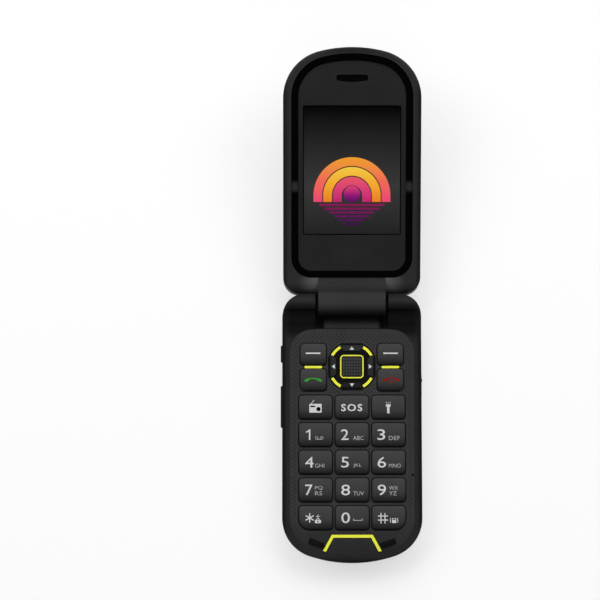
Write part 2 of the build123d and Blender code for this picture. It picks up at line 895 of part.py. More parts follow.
def keypad_mat():
    sheet = plain(board_half, board_end_y, mat_top_y)
    mat = prism(sheet, board_top, mat_top)
    half = pusher_size / 2
    for shape in key_list().values():
        spot = shape.center()
        mat += block(spot.X - half, spot.X + half, spot.Y - half, spot.Y + half, mat_top - root, pusher_top)
    return mat


def main_board():
    return prism(plain(board_half, board_end_y, board_top_y), board_bottom, board_top)


def battery():
    return prism(rounded(battery_half, battery_end_y, battery_top_y, battery_corner), battery_bottom, battery_top)


def battery_cover():
    plate = prism(cover_outline(), back_level, cover_top_level)
    plate += spine_plateau() & prism(cover_outline(), 0, back_level)
    plate -= post(lock_radius + lock_recess, -overcut, lock_level(), 0, lock_y)
    plate -= post(lock_shaft + running_fit, -overcut, cover_top_level, 0, lock_y)
    plate -= prism(rounded(plaque_half, plaque_end_y, plaque_top_y, plaque_corner), 0, back_level + plaque_depth)
    hexagon = RegularPolygon(hex_flats / 2, hex_sides, major_radius=False, rotation=180 / hex_sides)
    for x, y in hex_spots():
        plate -= prism(Pos(x, y) * hexagon, 0, back_level + hex_depth)
    return plate


def hex_spots():
    upper, lower = (cover_end_y + margin for margin in hex_rows_to_cover_end)
    pair = [(sign * hex_pitch / 2, upper) for sign in (-1, 1)]
    return pair + [(n * hex_pitch, lower) for n in (-1, 0, 1)]


def accent_trims():
    strip = prism(strip_outline(), back_level - accent_rise, back_level + trim_depth)
    return [strip] + list(trim_band().solids())


def hinge_accent_insert():
    blank = insert_blank()
    return blank & prism(base_outline(), 0, insert_depth)


def loudspeaker():
    shape = rounded(speaker_width / 2, speaker_y - speaker_depth / 2, speaker_y + speaker_depth / 2,
                    speaker_corner, speaker_x)
    return prism(shape, floor_level + speaker_gap, floor_level + speaker_gap + speaker_thickness)


def usb_socket():
    y = (port_top_y + port_end_y) / 2
    z = board_bottom - socket_height / 2
    mouth = side - port_cover_thickness - socket_back
    shell = yz_plate(socket_width, socket_height, socket_corner, mouth - socket_depth, mouth, y, z)
    inner = yz_plate(socket_width - 2 * socket_wall, socket_height - 2 * socket_wall, socket_bore_corner,
                     mouth - socket_bore, mouth + overcut, y, z)
    tongue = block(mouth - socket_depth + 2 * root, mouth - tongue_sunk, y - tongue_half, y + tongue_half,
                   z + tongue_low, z + tongue_high)
    return shell - inner + tongue


def screw(x, y, head_level, length):
    """A screw driven upwards: flat head below, shaft above, with a square socket in the head."""
    shaft_level = head_level + screw_head_height
    head = peg(screw_head_radius, head_level, shaft_level, x, y)
    half = screw_socket / 2
    socket = block(x - half, x + half, y - half, y + half, head_level, head_level + screw_socket_depth)
    return head - socket + peg(screw_shaft_radius, shaft_level, head_level + length, x, y)


def base_screws():
    return [screw(x, y, back_level + screw_sunk, screw_length) for x, y in mirrored(base_screw_spots)]


def lid_rest_pads():
    top = axis_level + ring_sunk - rest_pad_gap
    pads = []
    for sign in (-1, 1):
        line = Line(*[(sign * x, base_end + margin) for x, margin in (rest_pad_start, rest_pad_end)])
        pad = prism(trace(line, rest_pad_width), panel_level, top)
        rim = pad.edges().filter_by(lambda e: abs(e.center().Z - top) < same_place)
        pads.append(chamfer(rim, rest_pad_bevel))
    return pads


def hinge_click_unit():
    """Sprung cam cartridge inside the barrel; its nose is keyed into the left knuckle."""
    start = click_inset - barrel_half
    body = rod(click_radius, start, start + click_length, 0, axis_level)
    rims = body.edges().filter_by(GeomType.CIRCLE)
    body = chamfer(rims, click_bevel)
    nose = rod(click_nose_radius, -barrel_side - knuckle_bore_depth + bore_end_gap, start, 0, axis_level)
    collar = rod(click_nose_radius + collar_rise, start - collar_width, start, 0, axis_level)
    return body + nose + collar


def hinge_pin():
    """Hollow pivot through which the wiring passes; it sits in the right knuckle and runs in the barrel."""
    end = barrel_side + knuckle_bore_depth - bore_end_gap
    pin = rod(pin_radius, end - pin_length, end, 0, axis_level)
    return pin - rod(pin_bore, end - pin_length - overcut, end + overcut, 0, axis_level)


def side_button(top_y, end_y):
    """A cap in the left wall with a flange behind the wall."""
    mid_y, mid_z = (top_y + end_y) / 2, (side_key_low + side_key_high) / 2
    wall_inner = -side + wall
    cap = yz_plate(top_y - end_y, side_key_high - side_key_low, side_key_corner, -side - side_key_rise,
                   wall_inner + side_key_backlash, mid_y, mid_z)
    face = cap.edges().filter_by(lambda e: abs(e.center().X + side + side_key_rise) < same_place)
    cap = chamfer(face, side_key_bevel)
    flange = block(wall_inner + side_key_backlash, wall_inner + side_key_backlash + side_key_flange_thickness,
                   end_y - side_key_flange, top_y + side_key_flange, side_key_low - side_key_flange_edge,
                   side_key_high + side_key_flange_edge)
    return cap + flange


def port_cover():
    plate = port_plate(0.0, side - port_cover_thickness, side + port_cover_rise)
    face = plate.edges().filter_by(lambda e: abs(e.center().X - side - port_cover_rise) < same_place)
    plate = chamfer(face, port_cover_bevel)
    nub_y = port_top_y - nub_to_top
    z = (port_low + port_high) / 2
    return plate + yz_plate(nub_width, nub_height, nub_corner, side - root, side + port_cover_rise + nub_rise, nub_y, z)


def cover_lock():
    disc = post(lock_radius, lock_sunk, lock_sunk + lock_thickness, 0, lock_y)
    disc = chamfer(at_level(disc, lock_sunk), lock_bevel)
    disc -= block(-lock_radius, lock_radius, lock_y - lock_slot_width / 2, lock_y + lock_slot_width / 2,
                  0, lock_sunk + lock_slot_depth)
    cam_low = floor_level + lock_cam_gap
    shaft = post(lock_shaft, lock_sunk + lock_thickness, cam_low + lock_cam_thickness, 0, lock_y)
    cam = prism(Pos(0, lock_y + lock_cam_reach / 2) * SlotOverall(lock_cam_reach + 2 * lock_shaft, 2 * lock_shaft,
                                                                 rotation=90), cam_low, cam_low + lock_cam_thickness)
    return disc + shaft + cam


# --- display half, drawn flat: outlines ---
def lid_outline():
    return crowned(lid_side, -lid_heel_corner, lid_length, lid_heel_round, lid_tip_corner, lid_tip_crown)


def ring_outline(inset=0.0):
    return crowned(ring_half - inset, ring_heel + inset, ring_tip - inset, ring_heel_corner - inset,
                   ring_tip_corner - inset, lid_tip_crown - ring_crown_inset - inset)


def window_outline(grow=0.0):
    return rounded(window_half + grow, window_heel - grow, window_tip + grow, window_corner)


def earpiece_outline(grow=0.0):
    low_end = earpiece_high - earpiece_end
    half = earpiece_half + grow
    points = [(-half, low_end - grow), (0, earpiece_low - grow), (half, low_end - grow),
              (half, earpiece_high + grow), (-half, earpiece_high + grow)]
    shape = make_face(Polyline(*points, close=True))
    ends = [v for v in shape.vertices() if abs(v.X) > 1]
    return fillet(ends, earpiece_corner + grow)


def camera_outline(inset=0.0):
    half = camera_half - inset
    shape = RectangleRounded(2 * half, camera_tip - camera_heel - 2 * inset, half - same_place)
    return Pos(0, (camera_heel + camera_tip) / 2) * shape


def lid_hump_plateau():
    """The raised hump round the camera, cut off at the heel."""
    beyond = -2 * spine_slope - lid_hump
    straight = Pos(0, (hump_top + beyond) / 2) * Rectangle(2 * hump_half, hump_top - beyond)
    outline = straight + Pos(0, hump_top) * Circle(hump_half)
    return sloped(outline, lid_back, lid_hump, spine_slope) - lid_end_cut()


def lid_end_cut():
    """Everything that lies behind the slanted end face of the lid."""
    tilt = math.radians(open_tilt)
    reach = base_head + head_gap
    foot = (reach * math.cos(tilt), -reach * math.sin(tilt))
    along = (math.sin(tilt), math.cos(tilt))
    top = (foot[0] + end_cut_reach * along[0], foot[1] + end_cut_reach * along[1])
    low = (foot[0] - end_cut_reach * along[0], foot[1] - end_cut_reach * along[1])
    return side_profile([low, top, (top[0] - end_cut_reach, top[1]), (low[0] - end_cut_reach, low[1])], 2 * lid_side)


@functools.cache
def lid_body():
    plate = prism(lid_outline(), lid_back, 0) - lid_end_cut()
    heel = plate.edges().filter_by(lambda e: e.center().Y < lid_heel_corner and abs(e.center().X) > lid_side - root
                                   and -lid_back / 4 < -e.center().Z < -lid_back * 3 / 4)
    plate = fillet(heel, lid_heel_corner)
    plate = stepped(plate, at_level(plate, 0), lid_front_round, 0)
    plate = stepped(plate, at_level(plate, lid_back), lid_back_round, lid_back)
    return plate + lid_hump_plateau() - heel_cut()


def heel_cut():
    """Everything in front of the round heel, which lies in the hollow of the other half when shut."""
    y, z, radius = sweep_circle()
    outer = block(-side, side, -lid_heel_corner, -y, axis_level - z, overcut)
    return outer - rod(radius - axis_over_rim, -side, side, -y, axis_level - z)


def neck_room(gap):
    """The slot at the heel of the lid that takes the barrel and its neck."""
    half = barrel_half + gap
    slot = block(-half, half, -lid_length, ring_heel, -neck_depth - gap, barrel_radius)
    return slot + rod(barrel_radius + 2 * gap, -half, half)


def lid_cavity(heel, low, high):
    outline = crowned(lid_side - wall, heel, lid_length - wall, cavity_corner,
                      lid_tip_corner - wall, lid_tip_crown - wall)
    return prism(outline, low, high)


def lid_front_shell():
    shell = lid_body() & block(-2 * lid_side, 2 * lid_side, 0, lid_length, -lid_seam, overcut)
    seat = -ring_sunk - ring_thickness
    shell -= prism(ring_outline(), seat, overcut)
    shell -= prism(ring_outline(ring_width + ring_lip), bezel_bottom, overcut)
    shell -= lid_cavity(ring_heel + lid_shelf_heel, -lid_seam, bezel_bottom - lid_shelf)
    shell -= prism(window_outline(display_border + display_gap), -lid_seam, 0)
    shell -= prism(earpiece_outline(display_gap), -lid_seam, 0)
    shell -= neck_room(0.0)
    for x, y in mirrored(lid_screw_spots):
        shell += peg(boss_radius, -lid_seam, bezel_bottom - lid_shelf + root, x, y) & lid_body()
        shell -= peg(screw_shaft_radius, -lid_seam, lid_screw_tip(), x, y)
    return shell


def lid_screw_tip():
    return lid_back + screw_sunk + lid_screw_length


def lid_back_shell():
    shell = lid_body() & block(-2 * lid_side, 2 * lid_side, 0, lid_length, hump_level - overcut, -lid_seam)
    shell -= lid_cavity(lid_cavity_heel, lid_floor, -lid_seam)
    shell -= prism(rounded(outer_half, outer_heel, outer_tip, outer_corner), lid_back - overcut, outer_rear)
    gap = display_gap
    shell -= prism(plain(outer_display_half + gap, outer_display_heel - gap, outer_display_tip + gap), lid_back, lid_floor)
    shell -= prism(plate_outline(), lid_back - overcut, lid_back + plate_depth)
    shell -= prism(camera_outline(), hump_level - overcut, hump_level + camera_ring_depth)
    shell -= prism(camera_outline(camera_ring_width + camera_shelf), hump_level - overcut, lid_floor)
    shell -= neck_room(0.0)
    for x, y in mirrored(lid_screw_spots):
        shell += peg(boss_radius, lid_floor - 2 * root, -lid_seam, x, y) & lid_body()
        shell -= peg(screw_shaft_radius, lid_back, -lid_seam, x, y)
        shell -= peg(screw_head_radius, lid_back - overcut, lid_back + screw_sunk + screw_head_height, x, y)
    return shell


def plate_outline():
    points = [(-plate_half, plate_tip), (plate_half, plate_tip), (plate_half - plate_bevel, plate_heel),
              (-plate_half + plate_bevel, plate_heel)]
    return fillet(make_face(Polyline(*points, close=True)).vertices(), plate_corner)


def hinge_barrel():
    turn = neck_angle()
    touch = (barrel_radius * math.cos(turn), barrel_radius * math.sin(turn))
    neck = side_profile([(0, -neck_depth), (0, 0), touch, (neck_reach, 0), (ring_heel, 0),
                         (ring_heel, -neck_depth)], barrel_half)
    barrel = rod(barrel_radius, -barrel_half, barrel_half)
    ends = barrel.edges().filter_by(GeomType.CIRCLE)
    barrel = chamfer(ends, barrel_bevel)
    neck -= lid_end_cut() - block(-lid_side, lid_side, 0, lid_length, 0, lid_length)
    piece = barrel + neck
    unit_start = click_inset - barrel_half
    piece -= rod(click_radius + running_fit, unit_start - collar_width, unit_start + click_length + click_end_gap)
    piece -= rod(click_nose_radius + collar_rise + collar_gap, -barrel_half - overcut, unit_start)
    piece -= rod(pin_radius + running_fit, barrel_side + knuckle_bore_depth - bore_end_gap - click_end_gap - pin_length,
                 barrel_half + overcut)
    return piece


def lid_seal_ring():
    top = -ring_sunk
    ring = prism(ring_outline() - ring_outline(ring_width), top - ring_thickness, top)
    rims = ring.edges().filter_by(lambda e: abs(e.center().Z - top) < same_place)
    return chamfer(rims, ring_bevel)


def display_bezel():
    low_outline = ring_outline(ring_width + ring_lip)
    seat = -ring_sunk - ring_thickness
    bezel = prism(ring_outline(ring_width + seat_gap), seat, face_level) + prism(low_outline, bezel_bottom, seat)
    bezel -= prism(window_outline(window_gap), bezel_bottom - 1, 0)
    bezel -= prism(earpiece_outline(), bezel_bottom - 1, 0)
    return bezel


def display_window():
    return prism(window_outline(), face_level - window_thickness, face_level)


def main_display():
    return prism(window_outline(display_border), display_bottom, bezel_bottom) + \
        prism(window_outline(-display_inset), bezel_bottom, display_top)


def earpiece_mesh():
    top = face_level - earpiece_sunk
    return prism(earpiece_outline(-seat_gap), top - earpiece_thickness, top)


def outer_display():
    shape = plain(outer_display_half, outer_display_heel, outer_display_tip)
    return prism(shape, outer_rear + seat_gap, outer_rear + seat_gap + outer_display_thickness)


def outer_window():
    shape = rounded(outer_half - seat_gap, outer_heel + seat_gap, outer_tip - seat_gap, outer_corner)
    return prism(shape, outer_front, outer_rear)


def camera_ring():
    band = camera_outline(seat_gap) - camera_outline(camera_ring_width)
    ring = prism(band, hump_level - camera_ring_rise, hump_level + camera_ring_depth)
    rims = ring.edges().filter_by(lambda e: abs(e.center().Z - hump_level + camera_ring_rise) < same_place)
    return chamfer(rims, camera_ring_bevel)


def camera_window():
    plate = prism(camera_outline(camera_ring_width + seat_gap), camera_front, camera_rear)
    return plate - post(led_radius + led_gap, camera_front - 1, camera_rear + 1, 0, led_spot)


def camera_module():
    low, half = camera_rear + camera_lens_gap + camera_lens_height, camera_body / 2
    body = block(-half, half, camera_spot - half, camera_spot + half, low, lid_board_bottom)
    return body + post(camera_lens_radius, camera_rear + camera_lens_gap, low, 0, camera_spot)


def flash_led():
    low, half = camera_rear + led_body_gap, led_body / 2
    body = block(-half, half, led_spot - half, led_spot + half, low, lid_board_bottom)
    lens = post(led_radius, camera_front + led_sunk, low, 0, led_spot)
    return body + chamfer(at_level(lens, camera_front + led_sunk), led_bevel)


def lid_board():
    return prism(plain(lid_board_half, lid_board_heel, lid_board_tip), lid_board_bottom, lid_board_top)


def lid_screws():
    return [screw(x, y, lid_back + screw_sunk, lid_screw_length) for x, y in mirrored(lid_screw_spots)]


# --- assembly ---
def as_part(piece):
    return Compound(children=[Solid(s.wrapped) for p in piece for s in p.solids()]) if isinstance(piece, list) else piece


def placed_in_lid(piece):
    return Pos(0, 0, axis_level) * Rot(open_tilt, 0, 0) * as_part(piece)


def base_nodes():
    makers = [base_front_shell, base_back_shell, keypad_panel, keypad_mat, main_board, battery, battery_cover,
              accent_trims, hinge_accent_insert, keypad_light_bars, loudspeaker, usb_socket, base_screws,
              lid_rest_pads, hinge_click_unit, hinge_pin, port_cover, cover_lock]
    nodes = {maker.__name__: as_part(maker()) for maker in makers}
    nodes["side_key"] = side_button(side_key_top_y, side_key_end_y)
    nodes["volume_rocker"] = side_button(rocker_top_y, rocker_end_y)
    for name, shape in key_list().items():
        nodes[name] = key_solid(shape)
    return nodes


def lid_nodes():
    makers = [lid_front_shell, lid_back_shell, hinge_barrel, display_bezel, lid_seal_ring, main_display,
              display_window, earpiece_mesh, outer_display, outer_window, camera_ring, camera_window,
              camera_module, flash_led, lid_board, lid_screws]
    return {maker.__name__: placed_in_lid(maker()) for maker in makers}


def main():
    os.makedirs("parts", exist_ok=True)
    for name, piece in {**base_nodes(), **lid_nodes()}.items():
        export_step(piece, "parts/%s.step" % name)
        print(name, len(piece.solids()), round(piece.volume, 2))


main()
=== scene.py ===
import json
import math

import bmesh
import bpy
from mathutils import Matrix, Vector


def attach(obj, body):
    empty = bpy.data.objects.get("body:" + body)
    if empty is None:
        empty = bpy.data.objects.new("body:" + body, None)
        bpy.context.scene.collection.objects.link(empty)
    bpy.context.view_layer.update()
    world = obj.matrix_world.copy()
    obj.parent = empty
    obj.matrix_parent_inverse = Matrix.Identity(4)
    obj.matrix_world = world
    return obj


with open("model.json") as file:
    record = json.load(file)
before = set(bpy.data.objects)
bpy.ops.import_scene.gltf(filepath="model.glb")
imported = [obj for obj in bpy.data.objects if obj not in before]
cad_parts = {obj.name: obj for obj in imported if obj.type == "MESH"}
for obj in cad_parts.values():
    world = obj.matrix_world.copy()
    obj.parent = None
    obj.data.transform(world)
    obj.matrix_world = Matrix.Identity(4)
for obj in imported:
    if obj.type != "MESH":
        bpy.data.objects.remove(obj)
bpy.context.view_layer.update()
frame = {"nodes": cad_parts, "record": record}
nodes = frame["nodes"]
print("frame loaded,", len(nodes), "nodes")

mm = 0.001
phone = {
    "axisHeight": 12.0,  # hinge axis above the table, mm
    "lidSlope": 15.0,  # degrees that the open lid rises
    "keyTop": 11.6,
    "panelTop": 11.0,
    "navMiddle": -23.55,  # middle of the direction keys
    "mic": (22.9, -64.6),
    "backLevel": 0.8,
    "lidBack": -9.6,
    "lidFace": -0.9,
}
lidPlace = (Matrix.Translation((0, 0, phone["axisHeight"] * mm))
            @ Matrix.Rotation(math.radians(phone["lidSlope"]), 4, "X"))
lidBackPlace = lidPlace @ Matrix.Rotation(math.pi, 4, "X")  # reads from behind, with the hinge upwards
baseBackPlace = Matrix.Rotation(math.pi, 4, "Y")
stay = Matrix.Identity(4)


def clearSelection():
    if bpy.context.object and bpy.context.object.mode != "OBJECT":
        bpy.ops.object.mode_set(mode="OBJECT")
    bpy.ops.object.select_all(action="DESELECT")


def pick(obj):
    clearSelection()
    obj.select_set(True)
    bpy.context.view_layer.objects.active = obj


def placed(scale=(1, 1, 1)):
    # the new primitive with its place and scale worked into the mesh, all of it selected in edit mode
    obj = bpy.context.object
    obj.scale = scale
    bpy.ops.object.transform_apply(location=True, rotation=True, scale=True)
    bpy.ops.object.mode_set(mode="EDIT")
    bpy.ops.mesh.select_all(action="SELECT")
    return obj


def pullUp(height):
    bpy.ops.mesh.extrude_region_move(TRANSFORM_OT_translate={"value": (0, 0, height * mm)})


def leaveEdit():
    bpy.ops.object.mode_set(mode="OBJECT")


def joined(parts, name):
    pick(parts[0])
    for part in parts:
        part.select_set(True)
    if len(parts) > 1:
        bpy.ops.object.join()
    piece = bpy.context.object
    piece.name = name
    piece.data.name = name
    return piece


def finish(piece, name, body, material, place=stay):
    piece.name = name
    piece.data.name = name
    piece.data.transform(place)
    piece.data.update()
    piece.data.materials.clear()
    piece.data.materials.append(material)
    for face in piece.data.polygons:
        face.material_index = 0
    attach(piece, body)
    return piece


def slab(x0, x1, y0, y1, z, thick, corner=0.0, edge=0.0, steps=4):
    # a flat plate: plane, rounded corners, pulled up and softly edged. Sizes in mm
    clearSelection()
    bpy.ops.mesh.primitive_plane_add(size=1, location=((x0 + x1) / 2 * mm, (y0 + y1) / 2 * mm, z * mm))
    obj = placed(((x1 - x0) * mm, (y1 - y0) * mm, 1))
    if corner:
        bpy.ops.mesh.bevel(offset=corner * mm, offset_type="OFFSET", segments=steps, affect="VERTICES")
    raiseFace(thick, edge)
    leaveEdit()
    return obj


def raiseFace(thick, edge):
    # in edit mode: everything selected goes up by its thickness, the last step drawn in as a bevel
    bpy.ops.mesh.select_all(action="SELECT")
    pullUp(max(thick - edge, 0.001))
    if edge:
        pullUp(edge)
        shrinkTop(edge)


def shrinkTop(edge):
    # the selected top face draws in by the bevel width on every side
    mesh = bmesh.from_edit_mesh(bpy.context.object.data)
    chosen = [v for v in mesh.verts if v.select]
    low = [min(v.co[k] for v in chosen) for k in (0, 1)]
    high = [max(v.co[k] for v in chosen) for k in (0, 1)]
    middle = [(a + b) / 2 for a, b in zip(low, high)]
    factors = [max(0.2, 1 - 2 * edge * mm / max(b - a, 1e-6)) for a, b in zip(low, high)]
    bpy.ops.transform.resize(value=(factors[0], factors[1], 1), center_override=(middle[0], middle[1], 0))


def disc(x, y, radius, z, thick, edge=0.0, sides=24, turn=0.0, squash=1.0):
    clearSelection()
    bpy.ops.mesh.primitive_circle_add(vertices=sides, radius=radius * mm, fill_type="NGON",
                                      location=(x * mm, y * mm, z * mm), rotation=(0, 0, math.radians(turn)))
    obj = placed((1, squash, 1))
    raiseFace(thick, edge)
    leaveEdit()
    return obj


def hoop(x, y, radius, width, z, thick, start=0.0, sweep=360.0, steps=24):
    # a flat ring or an arc of one: a small block spun round
    clearSelection()
    bpy.ops.mesh.primitive_plane_add(size=1, location=((x + radius - width / 2) * mm, y * mm, (z + thick / 2) * mm),
                                     rotation=(math.pi / 2, 0, 0))
    obj = placed((width * mm, thick * mm, 1))
    if sweep >= 360:
        bpy.ops.mesh.delete(type="ONLY_FACE")
        bpy.ops.mesh.select_all(action="SELECT")
    angle, centre = -math.radians(min(sweep, 360)), (x * mm, y * mm, z * mm)
    bpy.ops.mesh.spin(steps=steps, angle=angle, center=centre, axis=(0, 0, 1))
    bpy.ops.mesh.select_all(action="SELECT")
    bpy.ops.mesh.remove_doubles(threshold=1e-7)
    bpy.ops.mesh.normals_make_consistent(inside=False)
    leaveEdit()
    turnAbout(obj, start, x, y)
    return obj


def carve(obj, cutter, operation="DIFFERENCE"):
    pick(obj)
    cut = obj.modifiers.new("carve", "BOOLEAN")
    cut.operation = operation
    cut.solver = "EXACT"
    cut.object = cutter
    bpy.ops.object.modifier_apply(modifier=cut.name)
    bpy.data.objects.remove(cutter)
    return obj


def turnAbout(obj, degrees, x, y):
    about = Matrix.Translation((x * mm, y * mm, 0))
    obj.data.transform(about @ Matrix.Rotation(math.radians(degrees), 4, "Z") @ about.inverted())
    obj.data.update()
    return obj


def lettering(words, left, bottom, height, z, thick=0.05, weight=0.0, width=None, centred=False, spacing=1.0):
    # plain raised lettering in the built-in face, scaled so that its tallest letter has the height asked
    clearSelection()
    bpy.ops.object.text_add()
    obj = bpy.context.object
    obj.data.body = words
    obj.data.size = 1
    obj.data.resolution_u = 3
    obj.data.offset = weight
    obj.data.space_character = spacing
    obj.data.extrude = 0.02
    bpy.ops.object.convert(target="MESH")
    obj = bpy.context.object
    points = [v.co for v in obj.data.vertices]
    low = [min(p[k] for p in points) for k in range(3)]
    high = [max(p[k] for p in points) for k in range(3)]
    scale = height * mm / (high[1] - low[1])
    across = width * mm / (high[0] - low[0]) if width else scale
    middle = (low[0] + high[0]) / 2 if centred else low[0]
    obj.data.transform(Matrix.Translation((left * mm, bottom * mm, z * mm))
                       @ Matrix.Diagonal((across, scale, thick * mm / (high[2] - low[2]), 1))
                       @ Matrix.Translation((-middle, -low[1], -low[2])))
    obj.data.update()
    return obj


def setInputs(node, values):
    for label, value in values.items():
        node.inputs[label].default_value = value


def made(tree, kind, values=None, **settings):
    # a shader node with its settings and its plain input values
    node = tree.new("ShaderNode" + kind)
    for label, value in settings.items():
        setattr(node, label, value)
    setInputs(node, values or {})
    return node


def wire(source, output, target, entry):
    source.id_data.links.new(source.outputs[output], target.inputs[entry])


def socketGroup(name, inputs, outputs):
    group = bpy.data.node_groups.new(name, "ShaderNodeTree")
    for label, kind, value in inputs:
        item = group.interface.new_socket(name=label, in_out="INPUT", socket_type="NodeSocket" + kind)
        item.default_value = value
    for label, kind in outputs:
        group.interface.new_socket(name=label, in_out="OUTPUT", socket_type="NodeSocket" + kind)
    return group, group.nodes.new("NodeGroupInput"), group.nodes.new("NodeGroupOutput")


surfaceSockets = [("Colour", "Color"), ("Roughness", "Float"), ("Height", "Float")]


def shadedBy(group, into, out, pattern, shade, swing):
    # shade multiplies the colour, and the pattern swings the roughness and gives the height
    nodes = group.nodes
    tint = made(nodes, "MixRGB", {"Fac": 1}, blend_type="MULTIPLY")
    wire(into, "Colour", tint, "Color1")
    wire(shade, "Result", tint, "Color2")
    wire(tint, "Color", out, "Colour")
    rough = made(nodes, "MapRange", {"To Min": -swing, "To Max": swing})
    wire(pattern, "Fac", rough, "Value")
    total = made(nodes, "Math", operation="ADD")
    wire(rough, "Result", total, 0)
    wire(into, "Roughness", total, 1)
    wire(total, 0, out, "Roughness")
    wire(pattern, "Fac", out, "Height")
    return group


def makeMouldedGrain():
    # fine spark-eroded grain and slow cloudiness of a moulded plastic
    group, into, out = socketGroup(
        "mouldedGrain",
        [("Colour", "Color", (0.02, 0.02, 0.02, 1)), ("Roughness", "Float", 0.5), ("Cloud", "Float", 0.12)],
        surfaceSockets)
    nodes = group.nodes
    place = made(nodes, "TexCoord")
    grain = made(nodes, "TexNoise", {"Scale": 5000, "Detail": 3})
    cloud = made(nodes, "TexNoise", {"Scale": 90, "Detail": 4})
    for noise in (grain, cloud):
        wire(place, "Object", noise, "Vector")
    shade = made(nodes, "MapRange", {"From Min": 0.3, "From Max": 0.7})
    wire(cloud, "Fac", shade, "Value")
    for label, operation in (("To Min", "SUBTRACT"), ("To Max", "ADD")):
        end = made(nodes, "Math", {0: 1}, operation=operation)
        wire(into, "Cloud", end, 1)
        wire(end, 0, shade, label)
    return shadedBy(group, into, out, grain, shade, 0.08)


def makeBrushing():
    # fine turned or drawn lines on metal
    group, into, out = socketGroup(
        "brushing", [("Colour", "Color", (0.6, 0.6, 0.6, 1)), ("Roughness", "Float", 0.3)], surfaceSockets)
    nodes = group.nodes
    stretch = made(nodes, "Mapping", {"Scale": (900, 12000, 900)})
    wire(made(nodes, "TexCoord"), "Object", stretch, "Vector")
    lines = made(nodes, "TexNoise", {"Scale": 1})
    wire(stretch, "Vector", lines, "Vector")
    shade = made(nodes, "MapRange", {"To Min": 0.8, "To Max": 1.15})
    wire(lines, "Fac", shade, "Value")
    return shadedBy(group, into, out, lines, shade, 0.1)


def makeSoftPatch():
    # 1 within a box and falling off softly round it, the same on the left and on the right of the phone
    group, into, out = socketGroup(
        "softPatch", [("Middle", "Vector", (0, 0, 0)), ("Reach", "Vector", (1, 1, 1)), ("Fade", "Vector", (1, 1, 1))],
        [("Mask", "Float")])
    nodes = group.nodes
    split, onOneSide = made(nodes, "SeparateXYZ"), made(nodes, "CombineXYZ")
    fold = made(nodes, "Math", operation="ABSOLUTE")
    wire(made(nodes, "TexCoord"), "Object", split, "Vector")
    wire(split, "X", fold, 0)
    wire(fold, 0, onOneSide, "X")
    for axis in "YZ":
        wire(split, axis, onOneSide, axis)
    last = onOneSide
    for operation, other in (("SUBTRACT", "Middle"), ("ABSOLUTE", None), ("SUBTRACT", "Reach"), ("DIVIDE", "Fade"),
                             ("MAXIMUM", None)):
        step = made(nodes, "VectorMath", operation=operation)
        wire(last, 0, step, 0)
        if other:
            wire(into, other, step, 1)
        last = step
    away = made(nodes, "VectorMath", operation="LENGTH")
    wire(last, 0, away, 0)
    mask = made(nodes, "MapRange", interpolation_type="SMOOTHSTEP")
    setInputs(mask, {"To Min": 1, "To Max": 0})
    wire(away, "Value", mask, "Value")
    wire(mask, "Result", out, "Mask")
    return group


mouldedGrain = makeMouldedGrain()
brushing = makeBrushing()
softPatch = makeSoftPatch()


def newMaterial(name):
    material = bpy.data.materials.new(name)
    material.use_nodes = True
    return material, material.node_tree.nodes["Principled BSDF"], material.node_tree.nodes


def surfaced(name, group, values, bump, depth):
    # a material whose colour, roughness and height come from one of the groups
    material, shader, tree = newMaterial(name)
    surface = made(tree, "Group", node_tree=group)
    setInputs(surface, values)
    wire(surface, "Colour", shader, "Base Color")
    wire(surface, "Roughness", shader, "Roughness")
    relief = made(tree, "Bump", {"Strength": bump, "Distance": depth * mm})
    wire(surface, "Height", relief, "Height")
    wire(relief, "Normal", shader, "Normal")
    return material, shader, surface, tree


def plastic(name, colour, rough=0.5, gloss=0.25, cloud=0.1, bump=0.25, coat=0.0, patches=()):
    material, shader, surface, tree = surfaced(
        name, mouldedGrain, {"Colour": (*colour, 1), "Roughness": rough, "Cloud": cloud}, bump, 0.02)
    last = None
    for middle, reach, fade, tone in patches:  # places and sizes in mm
        patch = made(tree, "Group", node_tree=softPatch)
        for label, value in (("Middle", middle), ("Reach", reach), ("Fade", fade)):
            patch.inputs[label].default_value = [v * mm for v in value]
        blend = made(tree, "MixRGB", {"Color1": (*colour, 1), "Color2": (*tone, 1)})
        wire(patch, "Mask", blend, "Fac")
        if last:
            wire(last, "Color", blend, "Color1")
        last = blend
    if last:
        wire(last, "Color", surface, "Colour")
    setInputs(shader, {"Specular IOR Level": gloss, "Coat Weight": coat, "Coat Roughness": 0.08})
    return material


def rampAlong(tree, low, high, stops):
    # colours that run along the piece's Y between low and high, mm
    split, ramp = made(tree, "SeparateXYZ"), made(tree, "ValToRGB")
    span = made(tree, "MapRange", {"From Min": low * mm, "From Max": high * mm})
    wire(made(tree, "TexCoord"), "Object", split, "Vector")
    wire(split, "Y", span, "Value")
    wire(span, "Result", ramp, "Fac")
    marks = ramp.color_ramp.elements
    for mark, (position, colour) in zip((marks[0], marks[1]), (stops[0], stops[-1])):
        mark.position = position
        mark.color = (*colour, 1)
    for position, colour in stops[1:-1]:
        marks.new(position).color = (*colour, 1)
    return ramp


def fadedPlastic(name, low, high, lowColour, highColour, rough=0.5):
    # painted shading: a key cap lighter at its upper edge and darker at its lower edge, as if lit from above; low and
    # high in mm
    material, shader, surface, tree = surfaced(
        name, mouldedGrain, {"Roughness": rough, "Cloud": 0.06}, 0.15, 0.02)
    between = [0.34 * a + 0.66 * b for a, b in zip(lowColour, highColour)]
    stops = ((0, lowColour), (0.4, between), (1, highColour))
    wire(rampAlong(tree, low, high, stops), "Color", surface, "Colour")
    setInputs(shader, {"Specular IOR Level": 0.05})
    return material


def metal(name, colour, rough):
    material, shader, *_ = surfaced(name, brushing, {"Colour": (*colour, 1), "Roughness": rough}, 0.15, 0.01)
    setInputs(shader, {"Metallic": 1})
    return material


